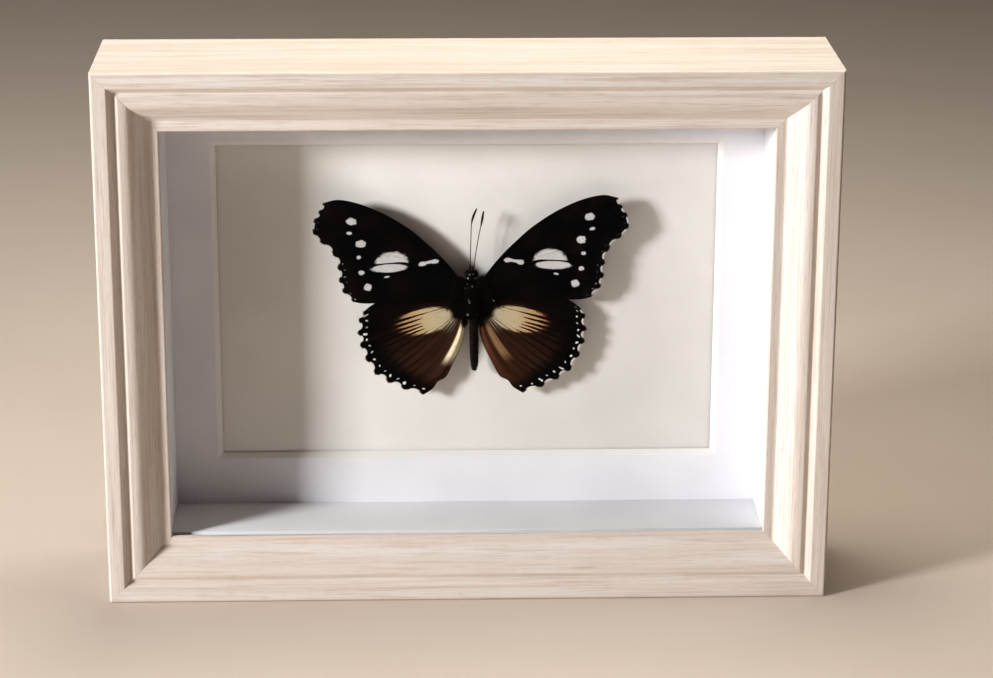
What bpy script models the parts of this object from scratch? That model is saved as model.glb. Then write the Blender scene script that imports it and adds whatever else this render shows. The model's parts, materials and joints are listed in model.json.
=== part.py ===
"""A spread butterfly in a deep wooden box frame that stands on a shelf.

Metres, +Z up. The frame's front faces -Y and it stands on its bottom rail, with the
origin under the middle of the frame. Depths are measured backwards from the front.
"""

import math

import bmesh
import bpy
from mathutils import Matrix, Vector

MM = 0.001

# Frame
WIDTH = 208 * MM
HEIGHT = 157 * MM
DEPTH = 43 * MM
SIGHT_INSET = 18.1 * MM  # outer edge to the edge of the opening
RABBET_INSET = 15.2 * MM  # outer edge to the wall of the rabbet
LIP_BACK = 7.5 * MM  # depth of the lip's back, which the glass rests against
EDGE_ROUND = 0.8 * MM
GAP = 0.3 * MM  # between one piece and the next

# The stack behind the lip, front to back
GLASS_THICKNESS = 2.0 * MM
LINER_THICKNESS = 2.4 * MM
MAT_FACE = 33.0 * MM
MAT_THICKNESS = 1.5 * MM
CARD_THICKNESS = 2.5 * MM
PANEL_THICKNESS = 2.5 * MM
WINDOW_WIDTH = 145.0 * MM
WINDOW_HEIGHT = 94.0 * MM
WINDOW_CENTRE = Vector((0.3 * MM, 80.6 * MM))

# Fittings on the back
TAB_WIDTH = 9.0 * MM
TAB_THICKNESS = 0.5 * MM
TAB_DRIVEN = 5.0 * MM
TAB_FREE = 8.0 * MM
HANGER_LENGTH = 44.0 * MM
HANGER_HEIGHT = 9.0 * MM
HANGER_THICKNESS = 0.8 * MM
HANGER_TEETH = 9
HANGER_DROP = 32.0 * MM  # top of the frame to the middle of the hanger
NAIL_SPACING = 36.0 * MM
NAIL_RADIUS = 0.7 * MM
NAIL_HEAD_RADIUS = 1.6 * MM
NAIL_HEAD_HEIGHT = 0.5 * MM
NAIL_DEPTH = 1.8 * MM

# Butterfly
THORAX_CENTRE = Vector((1.65 * MM, 82.0 * MM))
LEAN = math.radians(-0.8)
WING_DEPTH = 29.4 * MM
WING_THICKNESS = 0.3 * MM
WING_SPAN = 45.0  # root to tip, millimetres
WING_SAG = 1.6
TIP_LIFT = 0.9
BODY_DEPTH = 30.6 * MM
WING_RINGS = 6
OUTLINE_STEPS = 3
BODY_SIDES = 16
BLOCK_SIZE = Vector((3.2, 1.1, 7.0)) * MM

# Wing outlines in millimetres: out from the body's axis, and up from the thorax's middle.
FOREWING_OUTLINE = (
    (2.6, 4.6),
    (4.6, 8.4),
    (8.5, 13.2),
    (12.6, 17.4),
    (18.0, 22.2),
    (25.0, 26.8),
    (32.0, 30.0),
    (38.0, 31.4),
    (42.0, 30.8),
    (44.4, 27.8),
    (45.8, 23.2),
    (44.4, 19.4),
    (41.0, 16.8),
    (39.3, 12.8),
    (38.6, 8.0),
    (37.2, 3.2),
    (34.8, 0.5),
    (31.0, -0.2),
    (20.0, 0.0),
    (9.0, 0.6),
    (2.6, 1.4),
)
FOREWING_ROOT = (2.6, 3.0)
HINDWING_OUTLINE = (
    (2.6, 0.6),
    (8.0, 1.6),
    (14.0, 2.2),
    (22.0, 2.0),
    (28.4, -0.6),
    (31.8, -3.6),
    (33.2, -7.6),
    (33.0, -12.0),
    (31.6, -16.6),
    (28.8, -21.0),
    (24.6, -24.8),
    (19.6, -27.2),
    (15.0, -28.6),
    (12.0, -26.4),
    (8.4, -24.0),
    (6.0, -20.0),
    (3.8, -15.6),
    (2.4, -11.4),
    (2.1, -8.0),
    (2.5, -4.0),
)
HINDWING_ROOT = (2.7, -1.0)
# Body stations in millimetres: height, half width and half depth.
BODY_STATIONS = (
    (-22.0, 0.3, 0.3),
    (-21.4, 0.8, 0.8),
    (-19.0, 1.05, 1.05),
    (-14.0, 1.15, 1.2),
    (-9.0, 1.1, 1.2),
    (-6.5, 1.3, 1.4),
    (-4.0, 1.9, 2.0),
    (-1.0, 2.2, 2.3),
    (2.0, 2.2, 2.3),
    (4.4, 1.8, 1.9),
    (5.6, 1.2, 1.3),
    (6.4, 1.4, 1.4),
    (7.4, 1.5, 1.5),
    (8.4, 1.1, 1.1),
    (8.9, 0.5, 0.5),
)
# Antenna routes in millimetres from the thorax's middle; both lean to the right.
ANTENNA_LEFT = ((-0.4, 9.3), (-0.2, 14.5), (0.0, 19.0), (0.2, 23.0), (0.7, 26.0), (1.5, 28.6))
ANTENNA_RIGHT = ((0.6, 9.3), (1.2, 13.5), (1.9, 17.5), (2.5, 20.6), (3.0, 23.6), (3.5, 27.6))
ANTENNA_RADIUS = 0.14 * MM
CLUB_RADIUS = 0.36 * MM
CLUB_SHARE = 0.3  # share of the antenna that the club takes up


def depth(distance):
    """World y of a point this far behind the frame's front."""
    return distance - DEPTH / 2


def material(name, colour, roughness, metallic=0.0):
    """A Principled material in one linear colour."""
    made = bpy.data.materials.new(name)
    made.use_nodes = True
    shader = made.node_tree.nodes["Principled BSDF"]
    shader.inputs["Base Color"].default_value = (*colour, 1.0)
    shader.inputs["Roughness"].default_value = roughness
    shader.inputs["Metallic"].default_value = metallic
    return made


def place(name, mesh, finish, matrix=Matrix(), parent=None):
    """A new object that shows the mesh in one finish."""
    mesh.materials.append(finish)
    obj = bpy.data.objects.new(name, mesh)
    bpy.context.scene.collection.objects.link(obj)
    obj.parent = parent
    obj.matrix_local = matrix
    return obj


def mesh_of(bm, name):
    """A mesh made from bm, with its faces turned out."""
    bmesh.ops.recalc_face_normals(bm, faces=bm.faces)
    mesh = bpy.data.meshes.new(name)
    bm.to_mesh(mesh)
    bm.free()
    return mesh


def rounded(corners, steps=4):
    """A closed 2-D outline whose corners (x, y, radius) are turned into arcs."""
    outline = []
    for i, (x, y, radius) in enumerate(corners):
        corner = Vector((x, y))
        if radius == 0:
            outline.append(corner)
            continue
        back = (Vector(corners[i - 1][:2]) - corner).normalized()
        ahead = (Vector(corners[(i + 1) % len(corners)][:2]) - corner).normalized()
        half = back.angle(ahead) / 2
        reach = radius / math.tan(half)
        centre = corner + (back + ahead).normalized() * radius / math.sin(half)
        start = corner + back * reach - centre
        turn = start.angle_signed(corner + ahead * reach - centre)
        for step in range(steps + 1):
            outline.append(centre + Matrix.Rotation(-turn * step / steps, 2) @ start)
    return outline


def extruded(outline, start, end):
    """A prism whose outline lies in X and Z and whose ends are at these y values."""
    bm = bmesh.new()
    ends = [[bm.verts.new((p.x, y, p.y)) for p in outline] for y in (start, end)]
    for loop in ends:
        bm.faces.new(loop)
    for i in range(len(outline)):
        bm.faces.new((ends[0][i - 1], ends[0][i], ends[1][i], ends[1][i - 1]))
    return bm


def rectangle(left, right, bottom, top, radius=0.0):
    """An upright rectangle's outline, its corners rounded if a radius is given."""
    return rounded(
        ((left, bottom, radius), (right, bottom, radius), (right, top, radius), (left, top, radius)),
        steps=2,
    )


def moulding_profile():
    """The rail's section: (in from the outer edge, depth behind the front)."""
    return rounded(
        (
            (0.0, DEPTH, 0.5 * MM),
            (0.0, 0.0, EDGE_ROUND),
            (4.5 * MM, 0.0, 0.6 * MM),
            (6.1 * MM, 2.1 * MM, 0.5 * MM),
            (7.4 * MM, 1.2 * MM, 0.9 * MM),
            (10.2 * MM, 1.5 * MM, 4.5 * MM),
            (15.0 * MM, 6.3 * MM, 0.9 * MM),
            (SIGHT_INSET, 6.0 * MM, 0.5 * MM),
            (SIGHT_INSET, LIP_BACK, 0.0),
            (RABBET_INSET, LIP_BACK, 0.0),
            (RABBET_INSET, DEPTH, 0.4 * MM),
        )
    )


def rail_places():
    """Each rail's length, and the matrix that lays it out: local Z runs inwards, X along."""
    front = -DEPTH / 2
    return {
        "bottom": (WIDTH, Matrix.Translation((0, front, 0))),
        "top": (WIDTH, Matrix.Translation((0, front, HEIGHT)) @ Matrix.Rotation(math.pi, 4, "Y")),
        "left": (
            HEIGHT,
            Matrix.Translation((-WIDTH / 2, front, HEIGHT / 2)) @ Matrix.Rotation(math.pi / 2, 4, "Y"),
        ),
        "right": (
            HEIGHT,
            Matrix.Translation((WIDTH / 2, front, HEIGHT / 2)) @ Matrix.Rotation(-math.pi / 2, 4, "Y"),
        ),
    }


def rail(side, length, matrix, finish):
    """One length of moulding with both ends mitred."""
    profile = moulding_profile()
    bm = bmesh.new()
    ends = []
    for way in (-1, 1):
        ends.append([bm.verts.new((way * (length / 2 - u - GAP / 2), v, u)) for u, v in profile])
    for loop in ends:
        bm.faces.new(loop)
    for i in range(len(profile)):
        bm.faces.new((ends[0][i - 1], ends[0][i], ends[1][i], ends[1][i - 1]))
    return place(f"rail_{side}", mesh_of(bm, "rail"), finish, matrix)


def tab_positions():
    """Where the tabs sit along each rail, from its middle."""
    return {"bottom": (-52 * MM, 52 * MM), "top": (-52 * MM, 52 * MM), "left": (0.0,), "right": (0.0,)}


def tab(name, along, depth_behind, finish, matrix):
    """A flat steel point, driven into the rail's inner wall and standing out over the panel."""
    half = TAB_WIDTH / 2
    outline = rounded(
        (
            (along - half, RABBET_INSET, 0.0),
            (along, RABBET_INSET - TAB_DRIVEN, 0.0),
            (along + half, RABBET_INSET, 0.0),
            (along + half, RABBET_INSET + TAB_FREE, 2 * MM),
            (along - half, RABBET_INSET + TAB_FREE, 2 * MM),
        )
    )
    bm = extruded(outline, depth_behind, depth_behind + TAB_THICKNESS)
    return place(name, mesh_of(bm, "tab"), finish, matrix)


def tab_slot(target, along, depth_behind, matrix):
    """Cuts the slot that a tab is driven into."""
    reach = TAB_WIDTH / 2 + GAP
    outline = rectangle(
        along - reach, along + reach, RABBET_INSET - TAB_DRIVEN - 2 * GAP, RABBET_INSET + MM
    )
    bm = extruded(outline, depth_behind - GAP, depth_behind + TAB_THICKNESS + GAP)
    cut(target, place("tab_slot", mesh_of(bm, "tab_slot"), target.active_material, matrix))


def cut(target, cutter):
    """Takes the cutter's shape out of the target and hides the cutter."""
    cutter.hide_render = True
    cutter.display_type = "WIRE"
    modifier = target.modifiers.new("cut", "BOOLEAN")
    modifier.operation = "DIFFERENCE"
    modifier.solver = "EXACT"
    modifier.object = cutter


def board(name, front, thickness, finish, inset=RABBET_INSET + GAP, radius=0.0):
    """A sheet that fills the rabbet from side to side."""
    half = WIDTH / 2 - inset
    outline = rectangle(-half, half, inset, HEIGHT - inset, radius)
    bm = extruded(outline, depth(front), depth(front + thickness))
    return place(name, mesh_of(bm, name), finish)


def liners(front, finish):
    """Four strips that hold the mat back from the glass; the side ones fit between the others."""
    outer = RABBET_INSET + GAP
    inner = outer + LINER_THICKNESS
    half = WIDTH / 2
    strips = {
        "liner_bottom": (outer - half, half - outer, outer, inner),
        "liner_top": (outer - half, half - outer, HEIGHT - inner, HEIGHT - outer),
        "liner_left": (outer - half, inner - half, inner + GAP, HEIGHT - inner - GAP),
        "liner_right": (half - inner, half - outer, inner + GAP, HEIGHT - inner - GAP),
    }
    for name, sides in strips.items():
        bm = extruded(rectangle(*sides), depth(front), depth(MAT_FACE - GAP))
        place(name, mesh_of(bm, name), finish)


def mat_board(finish):
    """The mat, with a window whose edge is bevelled towards the viewer."""
    inset = RABBET_INSET + GAP
    half = WIDTH / 2 - inset
    front, back = depth(MAT_FACE), depth(MAT_FACE + MAT_THICKNESS)
    x, z = WINDOW_CENTRE
    narrow, low = WINDOW_WIDTH / 2, WINDOW_HEIGHT / 2
    wide, high = narrow + MAT_THICKNESS, low + MAT_THICKNESS
    loops = (
        (rectangle(-half, half, inset, HEIGHT - inset), front),
        (rectangle(x - wide, x + wide, z - high, z + high), front),
        (rectangle(x - narrow, x + narrow, z - low, z + low), back),
        (rectangle(-half, half, inset, HEIGHT - inset), back),
    )
    bm = bmesh.new()
    rings = [[bm.verts.new((p.x, y, p.y)) for p in outline] for outline, y in loops]
    for ring, following in zip(rings, rings[1:] + rings[:1]):
        for i in range(len(ring)):
            bm.faces.new((ring[i - 1], ring[i], following[i], following[i - 1]))
    place("mat_board", mesh_of(bm, "mat_board"), finish)


def hanger(panel, panel_back, finish):
    """A toothed strip behind the panel, its raised middle joined to two flat ends."""
    half, flat = HANGER_LENGTH / 2, (HANGER_LENGTH - NAIL_SPACING) / 2 + 2 * MM
    rise = 0.8 * MM
    top = HEIGHT - HANGER_DROP + HANGER_HEIGHT / 2
    bottom = top - HANGER_HEIGHT
    pitch = 2 * (half - flat - 2 * MM) / HANGER_TEETH
    teeth = [Vector((-half, bottom + 1.5 * MM)), Vector((-half + flat, bottom + 1.5 * MM))]
    for i in range(HANGER_TEETH):
        left = -pitch * HANGER_TEETH / 2 + i * pitch
        teeth.append(Vector((left, bottom)))
        teeth.append(Vector((left + pitch / 2, bottom + 1.6 * MM)))
    teeth.append(Vector((pitch * HANGER_TEETH / 2, bottom)))
    teeth += [Vector((half - flat, bottom + 1.5 * MM)), Vector((half, bottom + 1.5 * MM))]
    outline = teeth + [Vector((p.x, top)) for p in reversed(teeth)]
    bm = bmesh.new()
    count = len(teeth)
    seat = panel_back + GAP
    layers = []
    for lift in (0.0, HANGER_THICKNESS):
        row = []
        for p in outline:
            raised = rise if abs(p.x) < half - flat - MM else 0.0
            row.append(bm.verts.new((p.x, depth(seat + raised + lift), p.y)))
        layers.append(row)
    for row in layers:
        for i in range(count - 1):
            bm.faces.new((row[i], row[i + 1], row[2 * count - 2 - i], row[2 * count - 1 - i]))
    for i in range(2 * count):
        bm.faces.new((layers[0][i - 1], layers[0][i], layers[1][i], layers[1][i - 1]))
    strip = place("hanger", mesh_of(bm, "hanger"), finish)
    head_seat = seat + HANGER_THICKNESS + GAP
    for name, side in (("left", -1), ("right", 1)):
        centre = Vector((side * NAIL_SPACING / 2, 0, (top + bottom + 1.5 * MM) / 2))
        nail(f"hanger_nail_{name}", centre, panel_back, head_seat, (strip, panel), finish)


def nail(name, centre, panel_back, head_seat, held, finish):
    """A short nail through the hanger into the panel, with a hole for it in both."""
    profile = (
        (0.0, panel_back - NAIL_DEPTH),
        (NAIL_RADIUS, panel_back - NAIL_DEPTH + 0.3 * MM),
        (NAIL_RADIUS, head_seat),
        (NAIL_HEAD_RADIUS, head_seat),
        (NAIL_HEAD_RADIUS * 0.8, head_seat + NAIL_HEAD_HEIGHT),
        (0.0, head_seat + NAIL_HEAD_HEIGHT),
    )
    matrix = Matrix.Translation(centre)
    place(name, turned(profile, name), finish, matrix)
    hole_radius = NAIL_RADIUS + GAP
    hole = ((0.0, panel_back - NAIL_DEPTH - GAP), (hole_radius, panel_back - NAIL_DEPTH - GAP))
    hole += ((hole_radius, head_seat), (0.0, head_seat))
    cutter = place(f"{name}_hole", turned(hole, name), finish, matrix)
    for target in held:
        cut(target, cutter)


def turned(profile, name, sides=12):
    """A solid of revolution about Y, from (radius, depth) points that start and end on it."""
    bm = bmesh.new()
    first = bm.verts.new((0, depth(profile[0][1]), 0))
    last = bm.verts.new((0, depth(profile[-1][1]), 0))
    rings = []
    for radius, behind in profile[1:-1]:
        ring = []
        for side in range(sides):
            angle = 2 * math.pi * side / sides
            ring.append(
                bm.verts.new((radius * math.cos(angle), depth(behind), radius * math.sin(angle)))
            )
        rings.append(ring)
    join_rings(bm, rings, first, last)
    return mesh_of(bm, name)


def join_rings(bm, rings, first, last):
    """Skins a row of rings and closes it on a point at each end."""
    for ring, following in zip(rings, rings[1:]):
        for i in range(len(ring)):
            bm.faces.new((ring[i - 1], ring[i], following[i], following[i - 1]))
    for ring, point in ((rings[0], first), (rings[-1], last)):
        for i in range(len(ring)):
            bm.faces.new((ring[i - 1], ring[i], point))


def smooth_loop(points, steps):
    """A closed curve through the points, with this many steps between each pair."""
    knots = [Vector(p) for p in points]
    curve = []
    for i, knot in enumerate(knots):
        before, ahead, beyond = knots[i - 1], knots[(i + 1) % len(knots)], knots[(i + 2) % len(knots)]
        for step in range(steps):
            t = step / steps
            curve.append(
                0.5
                * (
                    2 * knot
                    + (ahead - before) * t
                    + (2 * before - 5 * knot + 4 * ahead - beyond) * t**2
                    + (3 * knot - before - 3 * ahead + beyond) * t**3
                )
            )
    return curve


def wing(name, outline, root, lift, side, finish, parent):
    """A thin cambered wing: rings that shrink from the margin to the root."""
    root = Vector(root)
    margin = smooth_loop(outline, OUTLINE_STEPS)
    bm = bmesh.new()
    skins = []
    for half_thickness in (-WING_THICKNESS / 2, WING_THICKNESS / 2):
        base = lift + half_thickness
        rings = []
        for ring in range(1, WING_RINGS + 1):
            points = [root.lerp(p, ring / WING_RINGS) for p in margin]
            heights = [base + wing_height(p, root) for p in points]
            rings.append(
                [bm.verts.new((side * p.x * MM, y, p.y * MM)) for p, y in zip(points, heights)]
            )
        centre = bm.verts.new((side * root.x * MM, base, root.y * MM))
        for ring, following in zip(rings, rings[1:]):
            for i in range(len(ring)):
                bm.faces.new((ring[i - 1], ring[i], following[i], following[i - 1]))
        for i in range(len(margin)):
            bm.faces.new((rings[0][i - 1], rings[0][i], centre))
        skins.append(rings[-1])
    for i in range(len(margin)):
        bm.faces.new((skins[0][i - 1], skins[0][i], skins[1][i], skins[1][i - 1]))
    return place(name, mesh_of(bm, name), finish, parent=parent)


def wing_height(point, root):
    """How far back of the wing plane a point of a wing lies: a sag along the span, then a lift."""
    share = (point - root).length / WING_SPAN
    return (WING_SAG * share * (1 - share) - TIP_LIFT * share) * MM


def butterfly_body(finish, parent):
    """Head, thorax and abdomen as one lofted solid."""
    bm = bmesh.new()
    offset = BODY_DEPTH - WING_DEPTH
    rings = []
    for height, half_width, half_depth in BODY_STATIONS:
        ring = []
        for side in range(BODY_SIDES):
            angle = 2 * math.pi * side / BODY_SIDES
            ring.append(
                bm.verts.new(
                    (
                        half_width * math.cos(angle) * MM,
                        half_depth * math.sin(angle) * MM + offset,
                        height * MM,
                    )
                )
            )
        rings.append(ring)
    first = bm.verts.new((0, offset, (BODY_STATIONS[0][0] - 0.1) * MM))
    last = bm.verts.new((0, offset, (BODY_STATIONS[-1][0] + 0.1) * MM))
    join_rings(bm, rings, first, last)
    mesh = mesh_of(bm, "body")
    mesh.shade_smooth()
    place("butterfly_body", mesh, finish, parent=parent)


def antenna(name, route, finish, parent):
    """A thin stalk that thickens into a club over its last stretch."""
    curve = bpy.data.curves.new(name, "CURVE")
    curve.dimensions = "3D"
    curve.bevel_depth = ANTENNA_RADIUS
    curve.bevel_resolution = 1
    curve.use_fill_caps = True
    points = smooth_path(route, 3)
    spline = curve.splines.new("POLY")
    spline.points.add(len(points) - 1)
    for i, (knot, p) in enumerate(zip(spline.points, points)):
        share = i / (len(points) - 1)
        knot.co = (p.x * MM, -0.4 * MM * share, p.y * MM, 1)
        knot.radius = 1.0
        if share > 1 - CLUB_SHARE:
            club = math.sin(math.pi * (share - 1 + CLUB_SHARE) / CLUB_SHARE * 0.85)
            knot.radius += (CLUB_RADIUS / ANTENNA_RADIUS - 1) * club
    return place(name, curve, finish, parent=parent)


def smooth_path(points, steps):
    """An open curve through the points."""
    ends = (2 * Vector(points[0]) - Vector(points[1]), 2 * Vector(points[-1]) - Vector(points[-2]))
    loop = smooth_loop((ends[0], *points, ends[1]), steps)
    return loop[steps : steps * len(points) + 1]


def mount_block(card_front, finish):
    """A pad of cork that holds the thorax off the backing."""
    half = BLOCK_SIZE / 2
    x, z = THORAX_CENTRE
    outline = rectangle(x - half.x, x + half.x, z - half.z, z + half.z, 0.6 * MM)
    back = card_front - GAP
    bm = extruded(outline, depth(back - BLOCK_SIZE.y), depth(back))
    place("mount_block", mesh_of(bm, "mount_block"), finish)


def butterfly(finishes):
    """The specimen, on an empty that stands at the thorax and leans a little."""
    holder = bpy.data.objects.new("butterfly", None)
    bpy.context.scene.collection.objects.link(holder)
    x, z = THORAX_CENTRE
    holder.matrix_local = Matrix.Translation((x, depth(WING_DEPTH), z)) @ Matrix.Rotation(LEAN, 4, "Y")
    butterfly_body(finishes["body"], holder)
    for name, side in (("left", -1), ("right", 1)):
        forewing = ("forewing_" + name, FOREWING_OUTLINE, FOREWING_ROOT, 0.0)
        hindwing = ("hindwing_" + name, HINDWING_OUTLINE, HINDWING_ROOT, 1.0 * MM)
        wing(*forewing, side, finishes["forewing"], holder)
        wing(*hindwing, side, finishes["hindwing"], holder)
    antenna("antenna_left", ANTENNA_LEFT, finishes["body"], holder)
    antenna("antenna_right", ANTENNA_RIGHT, finishes["body"], holder)


def main():
    for obj in list(bpy.data.objects):
        bpy.data.objects.remove(obj)
    wood = material("wood", (0.80, 0.69, 0.60), 0.55)
    white = material("white_board", (0.85, 0.86, 0.88), 0.8)
    card = material("backing", (0.86, 0.85, 0.82), 0.85)
    glass = material("glass", (0.85, 0.90, 0.90), 0.05)
    hardboard = material("hardboard", (0.36, 0.23, 0.14), 0.8)
    steel = material("steel", (0.62, 0.62, 0.62), 0.35, 1.0)
    cork = material("cork", (0.50, 0.35, 0.21), 0.9)
    finishes = {
        "body": material("chitin", (0.015, 0.012, 0.010), 0.5),
        "forewing": material("forewing", (0.012, 0.010, 0.010), 0.7),
        "hindwing": material("hindwing", (0.060, 0.030, 0.015), 0.7),
    }
    glass_front = LIP_BACK + GAP
    card_front = MAT_FACE + MAT_THICKNESS + GAP
    panel_front = card_front + CARD_THICKNESS + GAP
    panel_back = panel_front + PANEL_THICKNESS
    board("glass_pane", glass_front, GLASS_THICKNESS, glass, radius=0.5 * MM)
    liners(glass_front + GLASS_THICKNESS + GAP, white)
    mat_board(white)
    board("backing_card", card_front, CARD_THICKNESS, card)
    panel = board("back_panel", panel_front, PANEL_THICKNESS, hardboard, radius=1.0 * MM)
    for side, (length, matrix) in rail_places().items():
        moulding = rail(side, length, matrix, wood)
        for number, along in enumerate(tab_positions()[side], 1):
            tab(f"tab_{side}_{number}", along, panel_back + GAP, steel, matrix)
            tab_slot(moulding, along, panel_back + GAP, matrix)
    hanger(panel, panel_back, steel)
    mount_block(card_front, cork)
    butterfly(finishes)


main()
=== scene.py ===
"""Looks for a spread butterfly in a deep wooden box frame.

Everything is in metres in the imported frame: +Z up, the glazed front towards -Y. Depths are
measured backwards from the front. The butterfly is laid out in millimetres: out from the body's
axis, and up from the middle of the thorax.
"""

import sys

import bpy
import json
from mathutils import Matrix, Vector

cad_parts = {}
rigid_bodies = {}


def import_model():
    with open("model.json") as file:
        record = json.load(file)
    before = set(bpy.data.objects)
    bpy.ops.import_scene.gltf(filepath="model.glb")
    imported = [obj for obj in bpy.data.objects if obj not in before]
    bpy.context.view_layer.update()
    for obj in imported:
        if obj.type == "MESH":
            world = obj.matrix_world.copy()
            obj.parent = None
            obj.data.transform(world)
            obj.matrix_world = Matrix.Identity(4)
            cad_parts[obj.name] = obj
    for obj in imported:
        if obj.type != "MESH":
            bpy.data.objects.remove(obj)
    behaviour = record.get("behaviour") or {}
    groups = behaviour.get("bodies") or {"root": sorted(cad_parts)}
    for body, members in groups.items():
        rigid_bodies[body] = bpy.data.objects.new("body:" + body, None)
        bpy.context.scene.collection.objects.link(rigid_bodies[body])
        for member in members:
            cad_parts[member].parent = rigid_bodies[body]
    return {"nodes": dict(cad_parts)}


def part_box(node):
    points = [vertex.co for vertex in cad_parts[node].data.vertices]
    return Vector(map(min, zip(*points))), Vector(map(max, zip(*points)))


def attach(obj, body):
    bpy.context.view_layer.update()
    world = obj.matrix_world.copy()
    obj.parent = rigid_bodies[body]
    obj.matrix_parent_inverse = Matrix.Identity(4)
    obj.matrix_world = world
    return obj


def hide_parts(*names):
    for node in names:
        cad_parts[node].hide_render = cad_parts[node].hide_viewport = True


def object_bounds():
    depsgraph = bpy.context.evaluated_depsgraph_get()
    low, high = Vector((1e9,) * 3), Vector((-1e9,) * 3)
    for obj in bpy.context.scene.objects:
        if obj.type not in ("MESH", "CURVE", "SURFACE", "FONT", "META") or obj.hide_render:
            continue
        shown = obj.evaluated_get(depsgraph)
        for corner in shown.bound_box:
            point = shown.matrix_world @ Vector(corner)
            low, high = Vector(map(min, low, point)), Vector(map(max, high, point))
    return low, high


for leftover in list(bpy.data.objects):
    bpy.data.objects.remove(leftover)
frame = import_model()
CAD_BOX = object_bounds()

import json
import logging
import math
from dataclasses import dataclass, field
from enum import Enum
from typing import Iterable, Sequence, Union

import bmesh
import numpy as np
from mathutils import Matrix, Vector

MM = 0.001
BODY = "root"
LOG = logging.getLogger("box_frame")

Colour = tuple[float, float, float, float]
Point = tuple[float, float]
Point3 = tuple[float, float, float]
Socket = bpy.types.NodeSocket
Material = bpy.types.Material
Feed = Union[float, tuple, Vector, Socket]
Solid = tuple[np.ndarray, np.ndarray, np.ndarray]


class Hand(Enum):
    """Which side of the body a wing or feeler is on, as the viewer sees it."""

    LEFT = -1
    RIGHT = 1


class Side(Enum):
    """A side of the frame."""

    BOTTOM = "bottom"
    TOP = "top"
    LEFT = "left"
    RIGHT = "right"


# ---------------------------------------------------------------- shared helpers


def tone(red: int, green: int, blue: int) -> Colour:
    """Turns a screen colour into linear light.

    Args:
        red: Red from 0 to 255.
        green: Green from 0 to 255.
        blue: Blue from 0 to 255.

    Returns:
        The linear colour with full alpha.
    """
    linear = []
    for channel in (red, green, blue):
        share = channel / 255
        linear.append(share / 12.92 if share <= 0.04045 else ((share + 0.055) / 1.055) ** 2.4)
    return (*linear, 1.0)


def smooth_route(points: Sequence[Sequence[float]], count: int) -> np.ndarray:
    """Draws a smooth open curve through points.

    Args:
        points: The points to pass through, of any one dimension.
        count: How many points to return, evenly spaced along the curve.

    Returns:
        An array of count rows.
    """
    knots = np.array(points, float)
    padded = np.vstack([2 * knots[0] - knots[1], knots, 2 * knots[-1] - knots[-2]])
    share = np.linspace(0, 1, 24, endpoint=False)[:, None]
    fine = []
    for before, here, ahead, beyond in zip(padded, padded[1:], padded[2:], padded[3:]):
        fine.append(
            0.5
            * (
                2 * here
                + (ahead - before) * share
                + (2 * before - 5 * here + 4 * ahead - beyond) * share**2
                + (3 * here - before - 3 * ahead + beyond) * share**3
            )
        )
    fine = np.vstack([*fine, knots[-1:]])
    run = np.concatenate([[0], np.cumsum(np.linalg.norm(np.diff(fine, axis=0), axis=1))])
    wanted = np.linspace(0, run[-1], count)
    return np.column_stack([np.interp(wanted, run, fine[:, k]) for k in range(knots.shape[1])])


def grid_faces(rows: int, columns: int, start: int = 0, closed: bool = False) -> np.ndarray:
    """Lists the quads of a grid whose vertices run row by row.

    Args:
        rows: Number of rows.
        columns: Number of vertices in a row.
        start: Index of the first vertex.
        closed: Whether each row joins up with its own start.

    Returns:
        An array of four vertex indices a face.
    """
    across = columns if closed else columns - 1
    i, j = np.meshgrid(np.arange(rows - 1), np.arange(across), indexing="ij")
    near = start + i * columns + j
    side = start + i * columns + (j + 1) % columns
    return np.stack([near, side, side + columns, near + columns], -1).reshape(-1, 4)


def strip_faces(one: np.ndarray, other: np.ndarray) -> np.ndarray:
    """Lists the quads between two rows of vertex indices.

    Args:
        one: Indices of the first row.
        other: Indices of the second row.

    Returns:
        An array of four vertex indices a face.
    """
    return np.stack([one[:-1], one[1:], other[1:], other[:-1]], -1)


def capped_faces(rows: int, sides: int) -> tuple[np.ndarray, np.ndarray]:
    """Lists the faces of a closed skin made of rings, with a fan at each end.

    Args:
        rows: Number of rings.
        sides: Vertices in a ring; the two end vertices follow the last ring.

    Returns:
        The quads between the rings and the triangles of the fans.
    """
    first = np.arange(sides)
    following = (first + 1) % sides
    last = (rows - 1) * sides
    start = np.column_stack([following, first, np.full(sides, rows * sides)])
    end = np.column_stack([last + first, last + following, np.full(sides, rows * sides + 1)])
    return grid_faces(rows, sides, closed=True), np.vstack([start, end])


def unit(rows: np.ndarray) -> np.ndarray:
    """Scales each row to length one."""
    return rows / np.linalg.norm(rows, axis=1)[:, None]


def rings_about(axis: np.ndarray, hint: Point3, sides: int) -> np.ndarray:
    """Draws a circle of radius one square to each axis.

    Args:
        axis: One direction a row.
        hint: A direction that no axis lies along.
        sides: Points on each circle.

    Returns:
        An array of axes by sides by three.
    """
    side = unit(np.cross(axis, np.array(hint)))
    other = np.cross(axis, side)
    angle = (np.arange(sides) * 2 * math.pi / sides)[None, :, None]
    return side[:, None] * np.cos(angle) + other[:, None] * np.sin(angle)


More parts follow.
